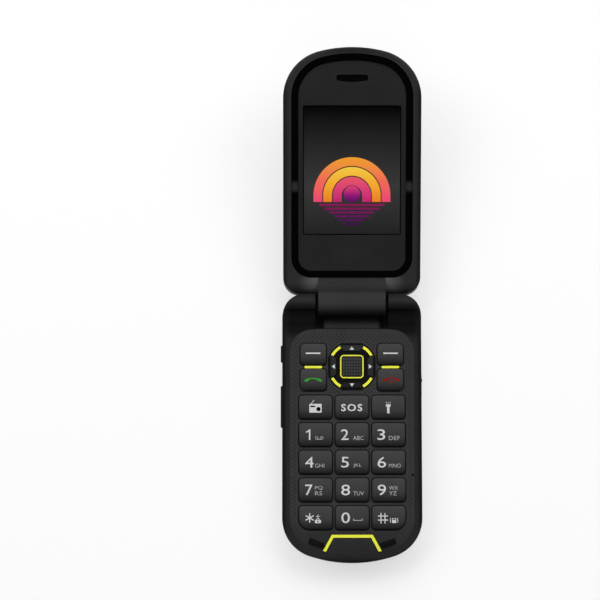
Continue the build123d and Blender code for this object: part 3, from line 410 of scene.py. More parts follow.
def glass(name, alpha, gloss):
    # thin dark hard-coated window: nearly clear to what lies under it, glossy on top
    material, shader, *_ = newMaterial(name)
    setInputs(shader, {"Base Color": (0, 0, 0, 1), "Roughness": 0.03, "Alpha": alpha, "Specular IOR Level": gloss})
    material.surface_render_method = "BLENDED"
    return material


def screenTone(name, low, high, stops):
    # a lit picture area
    material, shader, tree = newMaterial(name)
    setInputs(shader, {"Base Color": (0, 0, 0, 1), "Specular IOR Level": 0, "Emission Strength": 1})
    wire(rampAlong(tree, low, high, stops), "Color", shader, "Emission Color")
    return material


def grey(value):
    return (value, value, value)


colours = {
    "shell": (0.0155, 0.0155, 0.0157),
    # painted light: lidShell and hinge are the shell plastic given lighter tones, standing in for how light falls on
    # the sloping lid and on the hinge
    "lidShell": grey(0.021),
    "hinge": grey(0.0325),
    "bezel": grey(0.0165),
    "panel": grey(0.032),
    "gasket": grey(0.0007),
    "yellow": (0.8, 0.81, 0.06),
    "backYellow": (0.95, 0.78, 0.02),
    "gold": (0.62, 0.36, 0.03),
    "legend": grey(0.6),
}
moulded = {"rough": 0.46, "gloss": 0.05}
shellPlastic = plastic("shellPlastic", colours["shell"], **moulded)
baseShellPlastic = plastic("baseShellPlastic", colours["shell"], **moulded, patches=(
    ((0, -6.0, 15.0), (23.0, 3.6, 7.0), (5.0, 4.5, 1.5), grey(0.0008)),  # painted shade: the hollow in front of the hinge, dark where the barrel shades it
    ((0, -6.1, 15.0), (9.6, 2.0, 7.0), (1.6, 1.4, 1.0), grey(0.03)),  # painted light: the saddle in its middle made lighter than the shade round it
    ((27.0, -46.0, 15.0), (0.7, 60.0, 7.0), (2.2, 3.0, 1.0), grey(0.002)),  # painted shade: the rim darker outwards, where it curves away from the light
    # painted shade: the bottom end of the rim darker, where it curves away from the light
    ((0, -98.6, 15.0), (30.0, 0.9, 7.0), (1.0, 2.4, 1.0), grey(0.002)),
))
backShellPlastic = plastic("backShellPlastic", colours["shell"], **moulded, patches=(
    ((0, -43.0, 0), (20.6, 40.0, 1.2), (3.0, 4.0, 0.6), grey(0.002)),  # the ground of the grip texture
    ((0, -10.0, 0), (8.6, 16.0, 1.2), (0.7, 1.0, 0.6), grey(0.0045)),
    ((8.25, -6.0, 0), (0.4, 8.0, 1.2), (0.5, 5.0, 1), grey(0.035)),  # painted highlight: light strips along the sides of the spine
))
coverPlastic = plastic("coverPlastic", grey(0.008), **moulded, patches=(
    ((0, -16.0, 0), (8.0, 6.5, 100), (1.2, 2.5, 1), grey(0.0045)),
))
lidBackPlastic = plastic("lidBackPlastic", colours["shell"], **moulded, patches=(
    ((0, 48.0, 0), (21.0, 38.0, 100), (2.6, 4.5, 1), grey(0.0045)),  # the ground of the grip texture
    ((0, 16.0, 0), (8.9, 13.0, 100), (0.5, 2.0, 1), grey(0.009)),
    ((8.25, 13.0, 0), (0.4, 6.0, 100), (0.5, 5.0, 1), grey(0.035)),  # painted highlight: light strips along the sides of the camera hump
))
lidShellPlastic = plastic("lidShellPlastic", colours["lidShell"], **moulded, patches=(
    ((12.8, 8.0, 0), (0.8, 1.5, 100), (7.5, 2.8, 1), grey(0.085)),  # painted highlight on the heel beside the neck
    ((27.2, 45.0, 0), (0.9, 60.0, 100), (2.6, 3.0, 1), grey(0.003)),  # painted shade: the rim darker outwards, where it curves away from the light
    # painted shade: the top end of the rim darker, where it curves away from the light
    ((0, 97.0, 0), (30.0, 1.2, 100), (1, 5.0, 1), grey(0.003)),
))
hingePlastic = plastic("hingePlastic", colours["hinge"], rough=0.5, gloss=0.012, patches=(
    ((0, 8.9, 12), (20, 2.6, 20), (1, 1.4, 1), grey(0.0272)),  # painted shade: the neck, a little darker than the barrel
    ((0, 5.3, 12), (20, 0.3, 20), (1, 1.5, 1), grey(0.021)),  # painted shade: a darker line where it meets the barrel
    ((0, -6.9, 12), (20, 1.6, 20), (1, 5.6, 1), grey(0.0012)),  # painted shade: the barrel's lower side, away from the light
))
bezelPlastic = plastic("bezelPlastic", colours["bezel"], rough=0.6, gloss=0.04)
panelPlastic = plastic("panelPlastic", colours["panel"], rough=0.6, gloss=0.05, patches=(
    ((0, -97.0, 0), (30, 3.0, 100), (1, 16, 1), grey(0.02)),  # a little darker at the foot
))
gasketRubber = plastic("gasketRubber", colours["gasket"], rough=0.35, gloss=0.008, bump=0.05, patches=(
    # painted reflection: a lighter stretch on each side of the seal ring
    ((22.0, 43.7, 0), (4, 0.7, 100), (1, 1.9, 1), grey(0.024)),
))
plainRubber = plastic("plainRubber", grey(0.014), rough=0.7, gloss=0.05)
padRubber = plastic("padRubber", grey(0.004), rough=0.6, gloss=0.03)
accent = {"rough": 0.4, "gloss": 0.1, "cloud": 0.03, "bump": 0.1}
accentYellow = plastic("accentYellow", colours["yellow"], **accent)
backAccent = plastic("backAccent", colours["backYellow"], **accent)
insertAccent = plastic("insertAccent", colours["backYellow"], **accent, patches=(
    # painted shade: a darker orange band across the insert where it bends round the end
    ((0, 0.42, 0), (5.1, 0.8, 10), (0.2, 0.2, 1), (0.85, 0.55, 0.015)),
))
cameraGold = metal("cameraGold", colours["gold"], rough=0.42)
zincSteel = metal("zincSteel", (0.36, 0.36, 0.35), rough=0.45)
blackSteel = metal("blackSteel", grey(0.006), rough=0.7)
glossBlack = plastic("glossBlack", grey(0.0006), rough=0.12, gloss=0.012, bump=0.02, cloud=0.0)
wellBlack = plastic("wellBlack", grey(0.004), rough=0.5, gloss=0.03)
gridPlastic = plastic("gridPlastic", grey(0.036), rough=0.5, gloss=0.06, bump=0.1)
baseGridPlastic = plastic("baseGridPlastic", grey(0.017), rough=0.5, gloss=0.06, bump=0.1)
coverGridPlastic = plastic("coverGridPlastic", grey(0.06), rough=0.5, gloss=0.06, bump=0.1)
pitBlack = plastic("pitBlack", grey(0.0015), rough=0.8, gloss=0.01)
screenGlass = glass("screenGlass", alpha=0.05, gloss=0.06)
cameraGlass = glass("cameraGlass", alpha=0.82, gloss=0.012)
boardGreen = plastic("boardGreen", (0.01, 0.08, 0.03), rough=0.3, coat=0.4)
batteryWrap = plastic("batteryWrap", (0.08, 0.08, 0.09), rough=0.45)
innerPlastic = plastic("innerPlastic", grey(0.006), rough=0.6, gloss=0.02)
ledLens = plastic("ledLens", (0.42, 0.42, 0.38), rough=0.2, gloss=0.4, coat=0.3)


def printInk(name, colour):
    return plastic(name, colour, rough=0.45, gloss=0.06, cloud=0.02, bump=0.02)


legendGrey = printInk("legendGrey", colours["legend"])
letterGrey = printInk("letterGrey", grey(0.4))
callGreen = printInk("callGreen", (0.03, 0.3, 0.03))
endRed = printInk("endRed", (0.22, 0.006, 0.008))
litWhite = screenTone("litWhite", 0, 1, [(0, grey(0.85)), (1, grey(0.85))])

slotMaterials = {
    "shell_plastic": shellPlastic, "face_plastic": panelPlastic, "accent_yellow": accentYellow,
    "camera_ring_gold": cameraGold, "seal_rubber": plainRubber, "screen_glass": screenGlass,
    "display_stack": glossBlack, "circuit_board": boardGreen, "battery_case": batteryWrap,
    "steel": zincSteel, "earpiece_steel": pitBlack, "inner_plastic": innerPlastic, "led_lens": ledLens,
    "key_plastic": panelPlastic,
}


def dress(node, material):
    obj = nodes[node]
    if not obj.material_slots:
        obj.data.materials.append(material)
    for slot in obj.material_slots:
        slot.material = material


for part in frame["record"]["subparts"]:
    name = part.get("node") or part.get("name")
    if name in nodes:
        dress(name, slotMaterials.get(part.get("material_slot"), shellPlastic))
for name, material in {
        "hinge_click_unit": innerPlastic, "hinge_pin": blackSteel, "hinge_barrel": hingePlastic,
        "display_bezel": bezelPlastic, "lid_seal_ring": gasketRubber, "camera_window": cameraGlass,
        "accent_trims": backAccent, "hinge_accent_insert": insertAccent, "lid_front_shell": lidShellPlastic,
        "base_front_shell": baseShellPlastic, "base_back_shell": backShellPlastic,
        "lid_back_shell": lidBackPlastic, "battery_cover": coverPlastic, "lid_rest_pads": padRubber}.items():
    dress(name, material)

# painted shading: each key cap runs from the dark tone at its lower edge to the light tone at its upper edge
keyTones = {
    "light": grey(0.053),
    "dark": grey(0.004),
    "rows": {  # lower and upper edge of each row in mm, and its keys
        "soft": (-22.95, -14.75, ("soft_left", "soft_right")), "call": (-32.75, -24.45, ("call", "end")),
        "function": (-43.45, -34.55, ("radio", "sos", "torch")), "first": (-53.9, -45.0, ("1", "2", "3")),
        "second": (-64.35, -55.45, ("4", "5", "6")), "third": (-74.8, -65.9, ("7", "8", "9")),
        "last": (-85.2, -76.3, ("star", "0", "hash")),
    },
}
for row, (low, high, keys) in keyTones["rows"].items():
    tone = fadedPlastic(row + "KeyPlastic", low, high, keyTones["dark"], keyTones["light"])
    for key in keys:
        dress("key_" + key, tone)
ringKeyPlastic = fadedPlastic("ringKeyPlastic", -32, -15, grey(0.008), grey(0.026), rough=0.4)
okKeyPlastic = fadedPlastic("okKeyPlastic", -28.2, -19, grey(0.012), grey(0.026))
for key in ("up", "left", "down", "right"):
    dress("key_" + key, ringKeyPlastic)
dress("key_ok", okKeyPlastic)
print("materials on the frame")

legends = {
    "columns": (-13.8, 0.0, 13.8),
    "digitLeft": (-3.95, -4.15, -4.2),  # from each key's middle
    "lettersLeft": (-0.25, 0.4, 0.1),
    "digitHeight": 4.05,
    "letterHeight": 1.5,
    "drop": 2.05,  # the baseline below each key's middle
    "rise": 0.04,  # printed thickness
    "sink": 0.01,
    "rowMiddles": (-49.4, -59.85, -70.3, -80.75),
    "weight": 0.003,
    "digitWidths": {"2": 2.85, "3": 2.95, "4": 3.2, "5": 2.95, "6": 3.2, "7": 2.8, "8": 3.35, "9": 3.2, "0": 3.3},
    "letters": {      # rows of letters and their widths
        "2": (("ABC", 4.0),), "3": (("DEF", 4.2),), "4": (("GHI", 3.5),), "5": (("JKL", 3.2),), "6": (("MNO", 4.5),),
        "7": (("PQ", 2.9), ("RS", 2.7)), "8": (("TUV", 4.0),), "9": (("WX", 3.4), ("YZ", 2.9))},
}
printTop = phone["keyTop"] - legends["sink"]
ink = (printTop, legends["rise"])


def printed(key, parts, name=None, material=legendGrey):
    for k, part in enumerate(parts):  # crossing strokes lie a hair over each other
        part.data.transform(Matrix.Translation((0, 0, k * 0.002 * mm)))
    name = name or "legend_" + key
    return finish(joined(parts, name), name, "key_" + key, material)


def bar(x0, x1, y0, y1, corner=0.0, z=printTop, rise=legends["rise"]):
    return slab(x0, x1, y0, y1, z, rise, corner, 0, 3)


def strokes(x, y, *spans):
    # printed bars, each by its left, right, lower and upper end from x, y
    return [bar(x + left, x + right, y + low, y + high) for left, right, low, high in spans]


def digitKey(digit, column, row):
    x, baseline = legends["columns"][column], legends["rowMiddles"][row] - legends["drop"]
    left, lettersX = x + legends["digitLeft"][column], x + legends["lettersLeft"][column]
    height, small = legends["digitHeight"], []
    if digit == "1":  # a stem with a flag
        stem, flag = strokes(left, baseline, (1.4, 1.98, 0, height), (0.2, 1.9, 3.12, 3.62))
        parts = [stem, turnAbout(flag, 28, left + 1.2, baseline + 3.35)]
    else:
        width = legends["digitWidths"][digit]
        parts = [lettering(digit, left, baseline, height, *ink, legends["weight"], width)]
    rows = legends["letters"].get(digit, ())
    for line, (words, width) in enumerate(rows, 1):
        low = baseline + (len(rows) - line) * 2.0
        small.append(lettering(words, lettersX, low, legends["letterHeight"], *ink, -0.003, width))
    return parts, small, lettersX, baseline


def digitKeys():
    for number in range(1, 10):
        row, column = divmod(number - 1, 3)
        parts, small, lettersX, baseline = digitKey(str(number), column, row)
        if number == 1:  # two reels of a message tape
            for x in (lettersX + 0.65, lettersX + 2.55):
                small.append(hoop(x, baseline + 0.75, 0.62, 0.2, *ink, steps=14))
            small += strokes(lettersX, baseline, (0.65, 2.55, 0.13, 0.33))
        printed(str(number), parts)
        printed(str(number), small, "letters_" + str(number), letterGrey)
    parts, small, lettersX, baseline = digitKey("0", 1, 3)
    small += strokes(lettersX, baseline, (0, 3.4, 0.9, 1.15), (0, 0.25, 0.9, 1.75), (3.15, 3.4, 0.9, 1.75))
    printed("0", parts)
    printed("0", small, "letters_0", letterGrey)


def starKey():
    x, y = legends["columns"][0], legends["rowMiddles"][3]
    centre = (x - 2.25, y - 0.1)
    parts = []
    for turn in (0, 60, 120):
        parts.append(turnAbout(*strokes(*centre, (-0.22, 0.22, -1.75, 1.75)), turn, *centre))
    lockX, lockY = x + 0.85, y - 2.05
    parts.append(bar(lockX - 1.15, lockX + 1.15, lockY, lockY + 1.15, corner=0.15))
    parts.append(hoop(lockX, lockY + 1.1, 0.75, 0.28, *ink, 0, 180, 10))
    parts += strokes(lockX, lockY, (-0.75, 0.75, 2.42, 2.62), (-0.1, 0.1, 1.85, 3.2))
    printed("star", parts)
    printed("star", [disc(lockX, lockY + 0.6, 0.28, printTop, 0.06, sides=12)], "lockSpot_star", pitBlack)


def hashKey():
    x, y = legends["columns"][2], legends["rowMiddles"][3]
    left, bottom = x - 4.15, y - 2.15
    parts = []
    for step in (1.15, 2.65):
        parts += strokes(left, bottom, (step - 0.19, step + 0.19, 0, 3.9), (0, 3.8, step - 0.07, step + 0.31))
    bellX, bellY = x + 1.95, y - 2.0
    parts.append(slab(bellX - 0.75, bellX + 0.75, bellY, bellY + 1.1, *ink, 0.12, 0, 2))
    parts += strokes(bellX, bellY, (-0.55, 0.55, 1.6, 1.8))
    for side in (-1, 1):
        parts += strokes(bellX, bellY, (side * 0.65 - 0.12, side * 0.65 + 0.12, 0.9, 1.8))
        for k, (low, high) in enumerate(((0.1, 0.75), (0.7, 1.35), (1.3, 1.95))):
            mid = side * (1.3 + 0.12 * (k % 2))
            parts += strokes(bellX, bellY, (mid - 0.11, mid + 0.11, low, high))
    printed("hash", parts)


def handset(x, y, span):
    # a phone receiver: a shallow thin arc with a turned-down block at each end
    radius = span * 1.1
    parts = [hoop(x, y - radius + 0.35, radius, 0.45, *ink, 90 - 24, 48, 12)]
    for side in (-1, 1):
        endX = x + side * span * 0.38
        block = bar(endX - 0.95, endX + 0.95, y - 0.95, y - 0.05, corner=0.32)
        parts.append(turnAbout(block, -side * 22, endX, y - 0.5))
    return parts


def functionKeys():
    for side, name in ((-1, "soft_left"), (1, "soft_right")):
        printed(name, [bar(side * 14.75 - 2.8, side * 14.75 + 2.8, -18.72, -18.2, corner=0.1)])
    printed("call", handset(-14.7, -28.2, 6.2), material=callGreen)
    power = handset(14.8, -28.1, 6.0)
    power.append(disc(14.8, -29.5, 1.0, *ink, sides=3, turn=180, squash=0.6))
    printed("end", power, material=endRed)
    middle = -39.0
    printed("sos", [lettering("SOS", -0.1, middle - 1.55, 2.75, *ink, 0.02, 8.0, True, 1.2)])
    radio = [bar(-16.2, -11.5, middle - 2.1, middle + 1.25, corner=0.25)]
    mast = bar(-15.68, -15.42, middle + 1.15, middle + 3.1)
    radio.append(turnAbout(mast, -38, -15.55, middle + 1.15))
    printed("radio", radio)
    face = [slab(-15.8, -13.95, middle + 0.0, middle + 0.55, printTop, 0.06, 0.2, 0, 3),
            disc(-12.7, middle - 0.75, 0.82, printTop, 0.06, sides=20)]
    printed("radio", face, "radioFace", pitBlack)
    torch = [bar(12.85, 14.65, middle + 0.2, middle + 1.1, corner=0.2),
             bar(13.3, 14.2, middle - 2.35, middle + 0.3, corner=0.15)]
    for k in (-1, 0, 1):
        ray = bar(13.75 + k * 0.72 - 0.09, 13.75 + k * 0.72 + 0.09, middle + 1.35, middle + 2.0)
        torch.append(turnAbout(ray, -k * 16, 13.75 + k * 0.72, middle + 1.7))
    printed("torch", torch)


def directionKeys():
    navY, reach = phone["navMiddle"], 7.0
    for key, turn in (("up", 0), ("left", 90), ("down", 180), ("right", 270)):
        arrow = disc(0, navY + reach - 0.15, 0.98, *ink, sides=3, squash=0.85)
        turnAbout(arrow, turn, 0, navY)
        printed(key, [arrow])
    okKey = {"half": 4.45, "line": 0.44, "corner": 1.45, "columns": 7, "rows": 6, "across": 1.02, "along": 1.14}
    half, line = okKey["half"], okKey["line"]
    frameLine = slab(-half, half, navY - half, navY + half, *ink, okKey["corner"], 0, 6)
    half -= line
    carve(frameLine, slab(-half, half, navY - half, navY + half, printTop - 1, 2, okKey["corner"] - 0.5, 0, 6))
    printed("ok", [frameLine], "okKeyFrame", accentYellow)
    dots = []
    for column in range(okKey["columns"]):
        for row in range(okKey["rows"]):
            x = (column - (okKey["columns"] - 1) / 2) * okKey["across"]
            y = navY + (row - (okKey["rows"] - 1) / 2) * okKey["along"]
            dots.append(disc(x, y, 0.22, printTop, 0.07, 0.03, sides=8))
    printed("ok", dots, "okKeyGrip", plastic("okGrip", grey(0.1), rough=0.5, gloss=0.06))


def onPanel(piece, name, material):
    finish(piece, name, "base", material)


def keyWell():
    # the black well round the direction keys, a thin plate on the keypad panel with holes for the keys
    well = {"radius": 9.75, "half": 9.05, "level": 10.99, "thick": 0.05, "play": 0.12, "middleKey": 4.6,
            "keyFoot": 3.15, "keyHead": 4.375, "keyReach": (5.9, 8.2)}
    navY, play, under = phone["navMiddle"], well["play"], well["level"] - 1
    plate = disc(0, navY, well["radius"], well["level"], well["thick"], sides=96)
    edge = slab(-well["half"], well["half"], navY - well["half"], navY + well["half"], under, 2)
    carve(plate, edge, "INTERSECT")
    half, head, (inner, outer) = well["middleKey"] + play, well["keyHead"] + play, well["keyReach"]
    carve(plate, slab(-half, half, navY - half, navY + half, under, 2, 1.7, 0, 5))
    for turn in (0, 90, 180, 270):
        pad = slab(-head, head, navY + inner - play, navY + outer + play, under, 2)
        pick(pad)
        for vertex in pad.data.vertices:  # the inner side of each key is narrower
            if vertex.co.y < (navY + 7) * mm:
                vertex.co.x *= (well["keyFoot"] + play * 1.6) / head
        pad.data.update()
        carve(plate, turnAbout(pad, turn, 0, navY))
    onPanel(plate, "keyWell", wellBlack)


keyWell()
digitKeys()
starKey()
hashKey()
functionKeys()
directionKeys()
print("key legends")

mainPicture = {
    "half": 18.2, "low": 27.05, "high": 75.45,  # lit area in the lid's own frame, mm
    "level": -1.9,  # just in front of the panel stack
    "centre": (0.0, 41.6),
    "arches": (  # outer radius, width, colours from the foot to the crown
        (14.6, 3.3, ((0.9, 0.06, 0.2), (0.95, 0.16, 0.1), (0.95, 0.36, 0.03))),
        (10.9, 3.3, ((0.9, 0.2, 0.02), (0.98, 0.42, 0.03), (0.98, 0.62, 0.06))),
        (7.2, 3.3, ((0.55, 0.02, 0.16), (0.75, 0.05, 0.2), (0.85, 0.1, 0.15))),
    ),
}


def onLid(piece, name, material, place=lidPlace):
    return finish(piece, name, "lid", material, place)


def litOnLid(piece, name, low, high, stops):
    # colours that run up the sloping lid, low and high in the lid's own frame
    slope = math.cos(math.radians(phone["lidSlope"]))
    return onLid(piece, name, screenTone(name, low * slope, high * slope, stops))


def mainScreen():
    p = mainPicture
    ground = slab(-p["half"], p["half"], p["low"], p["high"], p["level"], 0.02)
    litOnLid(ground, "wallpaperGround", p["low"], p["high"],
             [(0, grey(0.018)), (0.38, grey(0.042)), (0.62, grey(0.026)), (1, grey(0.002))])
    (x, y), front = p["centre"], p["level"] + 0.01
    for k, (radius, width, tones) in enumerate(p["arches"]):
        arch = hoop(x, y, radius, width, front, 0.03, 0, 180, 40)
        for foot in (-1, 1):
            middle = foot * (radius - width / 2)
            post = slab(x + middle - width / 2, x + middle + width / 2, y - 2.4, y, front, 0.03)
            arch = joined([arch, post], "arch")
        litOnLid(arch, "wallpaperArch%d" % (k + 1), y - 2.4, y + radius, list(zip((0, 0.5, 1), tones)))
    sun = disc(x, y + 0.6, 3.1, front, 0.03, sides=40)
    litOnLid(sun, "wallpaperSun", y - 2.5, y + 3.7,
             [(0, (0.05, 0.005, 0.12)), (0.5, (0.3, 0.01, 0.2)), (1, (0.75, 0.05, 0.2))])
    streaks = []
    for k in range(6):
        wide = 12.4 - 1.9 * k
        streaks.append(slab(x - wide, x + wide, y - 4.0 - 1.45 * k, y - 3.1 - 1.45 * k, front, 0.03, 0.4, 0, 3))
    litOnLid(joined(streaks, "streaks"), "wallpaperStreaks", y - 12, y - 3,
             [(0, (0.012, 0.008, 0.045)), (0.45, (0.1, 0.01, 0.1)), (1, (0.24, 0.012, 0.09))])


outerPicture = {
    "low": 43.3, "high": 69.7, "left": -12.3, "right": 12.7, "level": 8.58,
    "digits": 8.2, "spare": 0.02,
    "glass": (14.0, 41.0, 71.1, 9.5, 1.2),  # half width, both ends, outer face and corner of its glass
}


def outerScreen():
    # seen from behind with the hinge upwards: rows run the other way along the lid
    p = outerPicture
    slope = math.cos(math.radians(phone["lidSlope"]))
    ground = slab(p["left"], p["right"], -p["high"], -p["low"], p["level"], p["spare"])
    tone = screenTone("outerGround", (p["low"] * slope) + 2.2, (p["high"] * slope) + 2.2,
                      [(0, grey(0.055)), (0.45, grey(0.02)), (0.8, grey(0.001)), (1, (0, 0, 0))])
    onLid(ground, "outerScreenGround", tone, place=lidBackPlace)
    middle = -(p["low"] + p["high"]) / 2
    clock = lettering("12:45", 0.2, middle - 1.2, p["digits"] * 0.78, p["level"] + 0.01, 0.03, 0.01, 18.6, True)
    date = bar(-6.2, 6.6, middle - 4.4, middle - 3.9, z=p["level"] + 0.01, rise=0.03)
    onLid(joined([clock, date], "clock"), "outerScreenClock", litWhite, place=lidBackPlace)
    half, heel, tip, face, corner = p["glass"]
    mask = slab(-half, half, -tip, -heel, face - 0.005, 0.017, corner, 0, 5)
    carve(mask, slab(p["left"], p["right"], -p["high"], -p["low"], face - 1, 2, 0.4, 0, 3))
    onLid(mask, "outerGlassMask", glossBlack, place=lidBackPlace)


mainScreen()
outerScreen()
print("display pictures")


gripGrid = {"pitch": 0.95, "columns": 49, "rows": 91, "foot": 0.66, "top": 0.5, "rise": 0.1, "sink": 0.01}


def gripPads(startY, level, keep):
    # one little pad with sloping sides, repeated in rows and columns; pads that keep() refuses are cleared away
    pitch, foot, columns, sink = (gripGrid[label] for label in ("pitch", "foot", "columns", "sink"))
    startX = -(columns - 1) / 2 * pitch
    clearSelection()
    bpy.ops.mesh.primitive_plane_add(size=foot * mm, location=(startX * mm, startY * mm, (level - sink) * mm))
    obj = placed()
    pullUp(gripGrid["rise"] + sink)
    narrow = gripGrid["top"] / foot
    bpy.ops.transform.resize(value=(narrow, narrow, 1), center_override=(startX * mm, startY * mm, 0))
    leaveEdit()
    return spread(obj, startX, startY, columns, gripGrid["rows"], pitch, pitch, keep, level - sink * 0.5)


def insideRounded(x, y, half, low, high, lowCorner, highCorner):
    if abs(x) > half or not low < y < high:
        return False
    for edge, corner, sign in ((low, lowCorner, -1), (high, highCorner, 1)):
        dx, dy = abs(x) - (half - corner), sign * (y - edge) + corner
        if dx > 0 and dy > 0 and math.hypot(dx, dy) > corner:
            return False
    return True


def near(x, y, spots, reach):
    return any(math.hypot(abs(x) - sx, y - sy) < reach for sx, sy in spots)


keyGap = {"inset": 0.2, "outset": 0.06, "corner": 1.5, "wideCorner": 4.4, "thick": 0.012}


def keyGaps():
    # painted shade: a dark ring round each key of the rows (not the direction keys), where it drops into the panel,
    # for the shade in the gap
    rings, rowKeys = [], [key for row in keyTones["rows"].values() for key in row[2]]
    for node in sorted(nodes):
        if not node.startswith("key_") or node[4:] not in rowKeys:
            continue
        plates = []
        for spare, thick, sink in ((keyGap["outset"], keyGap["thick"], 0.004), (-keyGap["inset"], 2, 1)):
            x0, y0, x1, y1 = outlineOf(node, spare)
            level = phone["panelTop"] - sink
            plate = slab(x0, x1, y0, y1, level, thick + sink, keyGap["corner"] + spare, 0, 5)
            if node in ("key_star", "key_hash"):  # the outer lower corner is wider
                side = 1 if node == "key_hash" else -1
                inner = x0 - 20 if side > 0 else x1 + 20
                wide = slab(*sorted((inner, x1 if side > 0 else x0)), y0, y1 + 20, level - 1, thick + 3,
                            keyGap["wideCorner"] + spare, 0, 8)
                carve(plate, wide, "INTERSECT")
            plates.append(plate)
        rings.append(carve(*plates))
    onPanel(joined(rings, "shadeRings"), "keyGaps", wellBlack)
    # painted shade: a black disc for the dark inside of the microphone hole
    hole = disc(*phone["mic"], 0.5, phone["panelTop"] - 0.3, 0.31, sides=16)
    onPanel(hole, "micHoleShade", pitBlack)


dotLattice = {"across": 1.66, "along": 0.76, "radius": 0.27, "rise": 0.012, "sink": 0.004}


def dotRows(level, low, high, half, keep):
    # a staggered lattice of tiny flat dots, moulded into the faces round the keys and the display
    lattice, sink, parts = dotLattice, dotLattice["sink"], []
    for shift in (0, 1):
        across, along = lattice["across"], lattice["along"] * 2
        columns, rows = int(half / across) * 2 + 1 + shift, int((high - low) / along)
        startX, startY = -(columns - 1) / 2 * across, low + shift * along / 2
        dot = disc(startX, startY, lattice["radius"], level - sink, lattice["rise"] + sink, sides=6)
        parts.append(spread(dot, startX, startY, columns, rows, across, along, keep, level))
    return joined(parts, "dots")


def spread(obj, startX, startY, columns, rows, across, along, keep, bottom):
    # repeats a small piece in columns and rows and clears away those that keep() refuses, and all undersides
    pick(obj)
    for label, count, step in (("across", columns, (across * mm, 0, 0)), ("along", rows, (0, along * mm, 0))):
        array = obj.modifiers.new(label, "ARRAY")
        array.use_relative_offset = False
        array.use_constant_offset = True
        array.constant_offset_displace = step
        array.count = count
        bpy.ops.object.modifier_apply(modifier=label)
    bpy.ops.object.mode_set(mode="EDIT")
    bpy.ops.mesh.select_mode(type="FACE")
    bpy.ops.mesh.select_all(action="DESELECT")
    leaveEdit()
    for face in obj.data.polygons:
        x = startX + round((face.center.x / mm - startX) / across) * across
        y = startY + round((face.center.y / mm - startY) / along) * along
        face.select = not keep(x, y) or (face.center.z < bottom * mm and abs(face.normal.z) > 0.9)
    bpy.ops.object.mode_set(mode="EDIT")
    bpy.ops.mesh.delete(type="FACE")
    bpy.ops.mesh.select_mode(type="VERT")
    leaveEdit()
    return obj


def outlineOf(node, spare, place=stay):
    # the room that a node takes up seen from above, with some air round it, mm
    turned = place.inverted()
    points = [turned @ (nodes[node].matrix_world @ v.co) for v in nodes[node].data.vertices]
    return [f(p[k] for p in points) / mm + way * spare for f, way in ((min, -1), (max, 1)) for k in (0, 1)]


def within(x, y, box):
    return box[0] < x < box[2] and box[1] < y < box[3]


def panelDots():
    half, low, high, endCorner, topCorner = 22.9, -94.2, -9.7, 22.0, 8.2
    taken = [outlineOf(node, 0.35) for node in nodes if node.startswith("key_")]
    lightBars, trim, pads = (8.9, 20.4, -24.2, -23.2), (-8.2, -93.9, 8.2, -86.9), (10.2, 17.2, -92.9, -87.6)

    def keep(x, y):
        if not insideRounded(x, y, half, low, high, endCorner, topCorner) or any(within(x, y, box) for box in taken):
            return False
        return math.hypot(x, y - phone["navMiddle"]) > 10.4 and not near(x, y, (phone["mic"],), 1.0) and not any(
            (within(abs(x), y, (lightBars[0], lightBars[2] - 0.2, lightBars[1], lightBars[3] + 0.2)),
             within(abs(x), y, (pads[0], pads[2], pads[1], pads[3])), onTrim(x, y)))

    def onTrim(x, y):
        return within(x, y, trim) and (y > -88.3 or abs(abs(x) - (5.9 + (-88.0 - y) * 0.55)) < 0.9)

    dots = dotRows(phone["panelTop"], low, high, half, keep)
    onPanel(dots, "panelDots", plastic("panelDot", grey(0.012), rough=0.6, gloss=0.04))


def bezelDots():
    level = phone["lidFace"]
    window = outlineOf("display_window", 0.2, lidPlace)
    earpiece = outlineOf("earpiece_mesh", 0.7, lidPlace)

    def keep(x, u):
        return insideRounded(x, u, 19.98, 14.0, 91.6, 5.2, 13.6) and not within(x, u, window) \
            and not within(x, u, earpiece) and not within(x, u, (-7.6, 18.4, 7.6, 21.8))

    dots = dotRows(level, 14.0, 92.0, 20.2, keep)
    onLid(dots, "bezelDots", plastic("bezelDot", grey(0.008), rough=0.6, gloss=0.04))


lidBackParts = {
    "screws": ((16.4, 86.1), (22.9, 51.8), (19.1, 10.3)),
    "window": (14.2, 40.8, 71.3),
    "hump": (9.1, 21.5),
    "plate": (8.85, 86.9, 92.4, 1.3),
    "border": (22.7, 6.6, 91.9, 4.0, 13.5),
}


def onTongue(x, y, half, end):
    # on the raised middle that runs from the hinge to a round end
    return abs(x) < half and (y < end or math.hypot(x, y - end) < half)


def lidGrip(x, y):
    part, u = lidBackParts, -y
    half, low, high = part["window"]
    humpHalf, humpTop = part["hump"]
    return insideRounded(x, u, *part["border"]) and not (
        near(x, u, part["screws"], 2.25) or onTongue(x, u, humpHalf + 1.1, humpTop)
        or (abs(x) < half + 0.8 and low - 0.8 < u < high + 0.8)
        or (abs(x) < part["plate"][0] + 1.3 and u > part["plate"][1] - 1.0))


baseBackParts = {
    "screws": ((18.9, -5.0), (23.0, -52.6), (18.9, -89.9)),
    "border": (22.7, -86.3, -0.7, 12.0, 6.5),
    "spine": (9.1, -15.8),
    "cover": (21.1, -15.4, -74.7),
    "plaque": (10.9, -51.0, -37.0, 1.7),
    "hexes": ((-3.6, -60.9), (3.6, -60.9), (-7.2, -67.4), (0.0, -67.4), (7.2, -67.4)),
    "strip": (13.55, -74.75, -76.35),
    "speaker": (8.0, -81.8, 2.9, 1.95, (3, 4, 4, 3)),
    "padlocks": ((12.8, -11.8), (-12.6, -12.4)),
}


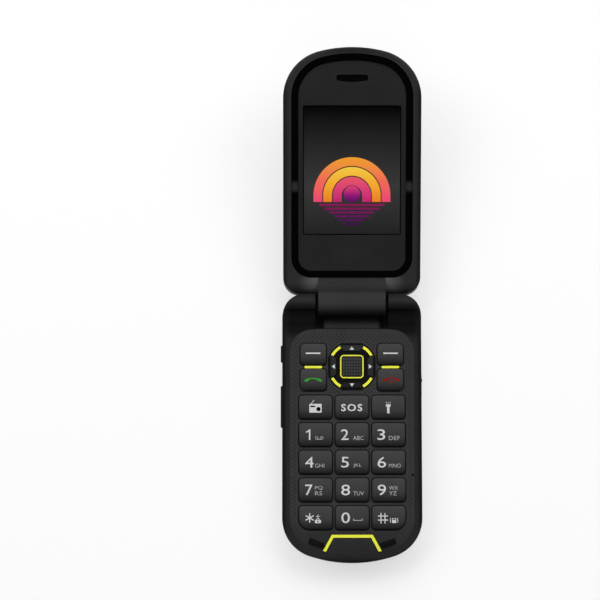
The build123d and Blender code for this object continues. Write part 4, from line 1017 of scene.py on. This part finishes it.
def baseGrip(mirrorX, y):
    part, x = baseBackParts, -mirrorX
    spineHalf, spineY = part["spine"]
    coverHalf, coverTop, coverEnd = part["cover"]
    half, low, high, _ = part["plaque"]
    stripHalf, stripTop, stripEnd = part["strip"]
    speakerX, speakerY, pitchX, pitchY, rows = part["speaker"]
    if not insideRounded(x, y, *part["border"]) or near(x, y, part["screws"], 2.35) \
            or onTongue(x, -y, spineHalf + 1.1, -spineY):
        return False
    onSeam = (coverEnd - 0.5 < y < coverTop + 0.5 and abs(abs(x) - coverHalf) < 0.48) or (
        abs(x) < coverHalf + 0.4 and (abs(y - coverTop) < 0.46 or abs(y - coverEnd) < 0.5))
    onPlaque = abs(x) < half + 0.5 and low - 0.5 < y < high + 0.5
    onStrip = abs(x) < stripHalf + 0.9 and stripEnd - 0.5 < y < stripTop + 0.8
    if onSeam or onPlaque or onStrip or any(math.hypot(x - hx, y - hy) < 3.95 for hx, hy in part["hexes"]):
        return False
    for row, count in enumerate(rows):
        for k in range(count):
            holeX = speakerX + (k - (count - 1) / 2) * pitchX
            if abs(x - holeX) < 1.25 and abs(y - speakerY - (1.5 - row) * pitchY) < 0.95:
                return False
    return not any(abs(x - px) < 1.75 and abs(y - py) < 2.2 for px, py in part["padlocks"])


def onCover(mirrorX, y):
    half, top, end = baseBackParts["cover"]
    return abs(mirrorX) < half and end < y < top


def onBack(parts, name, material):
    finish(joined(parts, name), name, "base", material, baseBackPlace)


def backTexture():
    pads = gripPads(-92.6, -phone["lidBack"], lidGrip)
    onLid(pads, "lidGrip", gridPlastic, lidBackPlace)
    shell = gripPads(-87.0, -phone["backLevel"], lambda x, y: baseGrip(x, y) and not onCover(x, y))
    onBack([shell], "baseGrip", baseGridPlastic)
    cover = gripPads(-87.0, -phone["backLevel"], lambda x, y: baseGrip(x, y) and onCover(x, y))
    onBack([cover], "coverGrip", coverGridPlastic)


def backPlates():
    half, low, high, bevel = lidBackParts["plate"]
    plate = slab(-half + 0.12, half - 0.12, -high + 0.12, -low - 0.12, 9.3, 0.26, bevel, 0.08, 1)
    onLid(plate, "lidNameplateBlank", glossBlack, lidBackPlace)
    half, low, high, corner = baseBackParts["plaque"]
    plaque = slab(-half + 0.1, half - 0.1, low + 0.1, high - 0.1, -1.1, 0.28, corner, 0.06, 6)
    onBack([plaque], "coverPlaqueBlank", glossBlack)


def coverIcons():
    # plain signs in the five hexagons: seen from the back, x runs the other way
    floor, rise = -1.1, 0.12
    (ax, ay), (bx, by), (cx, cy), (dx, dy), (ex, ey) = baseBackParts["hexes"]
    signs = [hoop(ax, ay, 1.35, 0.5, floor, rise, steps=20), slab(ax - 0.3, ax + 0.3, ay - 1.9, ay - 1.2, floor, rise)]
    for side in (-1, 1):
        signs.append(disc(bx + side * 1.05, by - side * 0.1, 0.7, floor, rise, sides=14))
    for x, y, size in ((cx - 0.95, cy + 0.6, 0.6), (cx + 0.9, cy + 0.75, 0.42), (cx + 0.05, cy - 0.8, 0.8)):
        drop = disc(x, y, size, floor, rise, sides=14)
        tip = disc(x, y + size * 0.7, size * 0.72, floor, rise, sides=3)
        signs += [drop, tip]
    for turn in (0, 90, 180, 270):
        arrow = disc(dx, dy + 1.45, 0.62, floor, rise, sides=3)
        shaft = slab(dx - 0.16, dx + 0.16, dy, dy + 1.3, floor, rise)
        signs += [turnAbout(arrow, turn, dx, dy), turnAbout(shaft, turn, dx, dy)]
    for x, y, size in ((-0.8, -0.1, 0.75), (0.75, -0.05, 0.85), (0, 0.45, 0.9), (0, -0.5, 0.7)):
        signs.append(disc(ex + x, ey + y, size, floor, rise, sides=16))
    for k, sign in enumerate(signs):
        sign.data.transform(Matrix.Translation((0, 0, k * 0.001 * mm)))
    onBack(signs, "coverSigns", pitBlack)


def screwRings():
    # painted shade: a black ring round each screw head, for the shade in its pocket
    for name, body, spots, level, place in (
            ("lidScrewShades", "lid", lidBackParts["screws"], -phone["lidBack"], lidBackPlace),
            ("baseScrewShades", "base", baseBackParts["screws"], -phone["backLevel"], baseBackPlace)):
        rings = []
        for x, y in spots:
            for side in (-1, 1):
                rings.append(hoop(side * x, -y if body == "lid" else y, 1.85, 0.36, level - 0.01, 0.03, steps=24))
        finish(joined(rings, "rings"), name, body, wellBlack, place)


def padlocks():
    floor, rise = -phone["backLevel"] - 0.01, 0.09
    parts = []
    for (x, y), turn in zip(baseBackParts["padlocks"], (0, 26)):
        parts.append(slab(-x - 1.05, -x + 1.05, y - 1.5, y + 0.1, floor, rise, 0.2, 0, 2))
        shackle = hoop(-x, y + 0.2, 0.85, 0.3, floor, rise + 0.004, 0, 180, 12)
        parts.append(turnAbout(shackle, turn, -x + 0.8, y + 0.1))
    onBack(parts, "padlockSigns", pitBlack)


keyGaps()
panelDots()
bezelDots()
print("dotted faces")
backTexture()
backPlates()
coverIcons()
screwRings()
padlocks()
print("backs")


viewPoint = {
    "aim": (-19.7, 1.9, 12.0),  # what the middle of the picture looks at, mm
    "distance": 900.0,
    "elevation": 82.5,
    "lens": 141.7,
}


def stand(name, data, place, back):
    # a camera or a lamp that looks against the direction of back
    obj = bpy.data.objects.new(name, data)
    bpy.context.scene.collection.objects.link(obj)
    obj.location = place
    obj.rotation_mode = "QUATERNION"
    obj.rotation_quaternion = back.to_track_quat("Z", "Y")
    return obj


def makeCamera():
    data = bpy.data.cameras.new("camera")
    rise = math.radians(viewPoint["elevation"])
    back = Vector((0, -math.cos(rise), math.sin(rise)))
    data.lens = viewPoint["lens"]
    data.clip_start, data.clip_end = 0.01, 50
    place = (Vector(viewPoint["aim"]) + back * viewPoint["distance"]) * mm
    bpy.context.scene.camera = stand("camera", data, place, back)


lamps = {  # place in metres, size in metres, power in watts
    "leftBox": ((-0.7, 0.4, 0.9), 0.7, 5.4),
    "rightBox": ((0.7, 0.5, 0.9), 0.7, 5.2),
    "farBox": ((0.0, 0.9, 0.9), 0.8, 7.0),
    "nearBox": ((0.0, -1.0, 0.9), 0.8, 1.8),
}


def seenDirectly(tree):
    # 1 where a ray comes from the camera, from a gloss or through glass
    path = made(tree, "LightPath")
    last, output = path, "Is Camera Ray"
    for kind in ("Is Glossy Ray", "Is Transmission Ray"):
        both = made(tree, "Math", operation="MAXIMUM")
        wire(last, output, both, 0)
        wire(path, kind, both, 1)
        last, output = both, 0
    return last


def mixed(tree, factor, shaders, out):
    mix = made(tree, "MixShader")
    wire(factor, 0, mix, "Fac")
    for k, shader in enumerate(shaders, 1):
        wire(shader, 0, mix, k)
    wire(mix, 0, out, "Surface")


def makeLamps():
    for name, (place, size, power) in lamps.items():
        data = bpy.data.lights.new(name, "AREA")
        data.shape, data.size, data.energy = "SQUARE", size, power
        stand(name, data, place, Vector(place))
    world = bpy.data.worlds.new("room")
    bpy.context.scene.world = world
    world.use_nodes = True
    tree = world.node_tree.nodes
    tree.clear()
    tones = [made(tree, "Background", {"Color": (1, 1, 1, 1), "Strength": strength}) for strength in (0.2, 1.0)]
    mixed(tree, seenDirectly(tree), tones, made(tree, "OutputWorld"))


def makeFloor():
    clearSelection()
    bpy.ops.mesh.primitive_plane_add(size=6, location=(0, 0, -0.0002))
    floor = placed()
    leaveEdit()
    floor.name = "floor"
    material, shader, tree = newMaterial("paleFloor")
    setInputs(shader, {"Base Color": (0.96, 0.96, 0.96, 1), "Roughness": 0.9, "Specular IOR Level": 0.1})
    seen = made(tree, "Math", {1: 0.6}, operation="MULTIPLY")
    wire(seenDirectly(tree), 0, seen, 0)
    white = made(tree, "Emission", {"Color": (1, 1, 1, 1)})
    mixed(tree, seen, (shader, white), tree["Material Output"])
    floor.data.materials.append(material)


makeCamera()
makeLamps()
makeFloor()
bpy.context.scene.view_settings.view_transform = "Standard"
print("camera, lamps and floor")
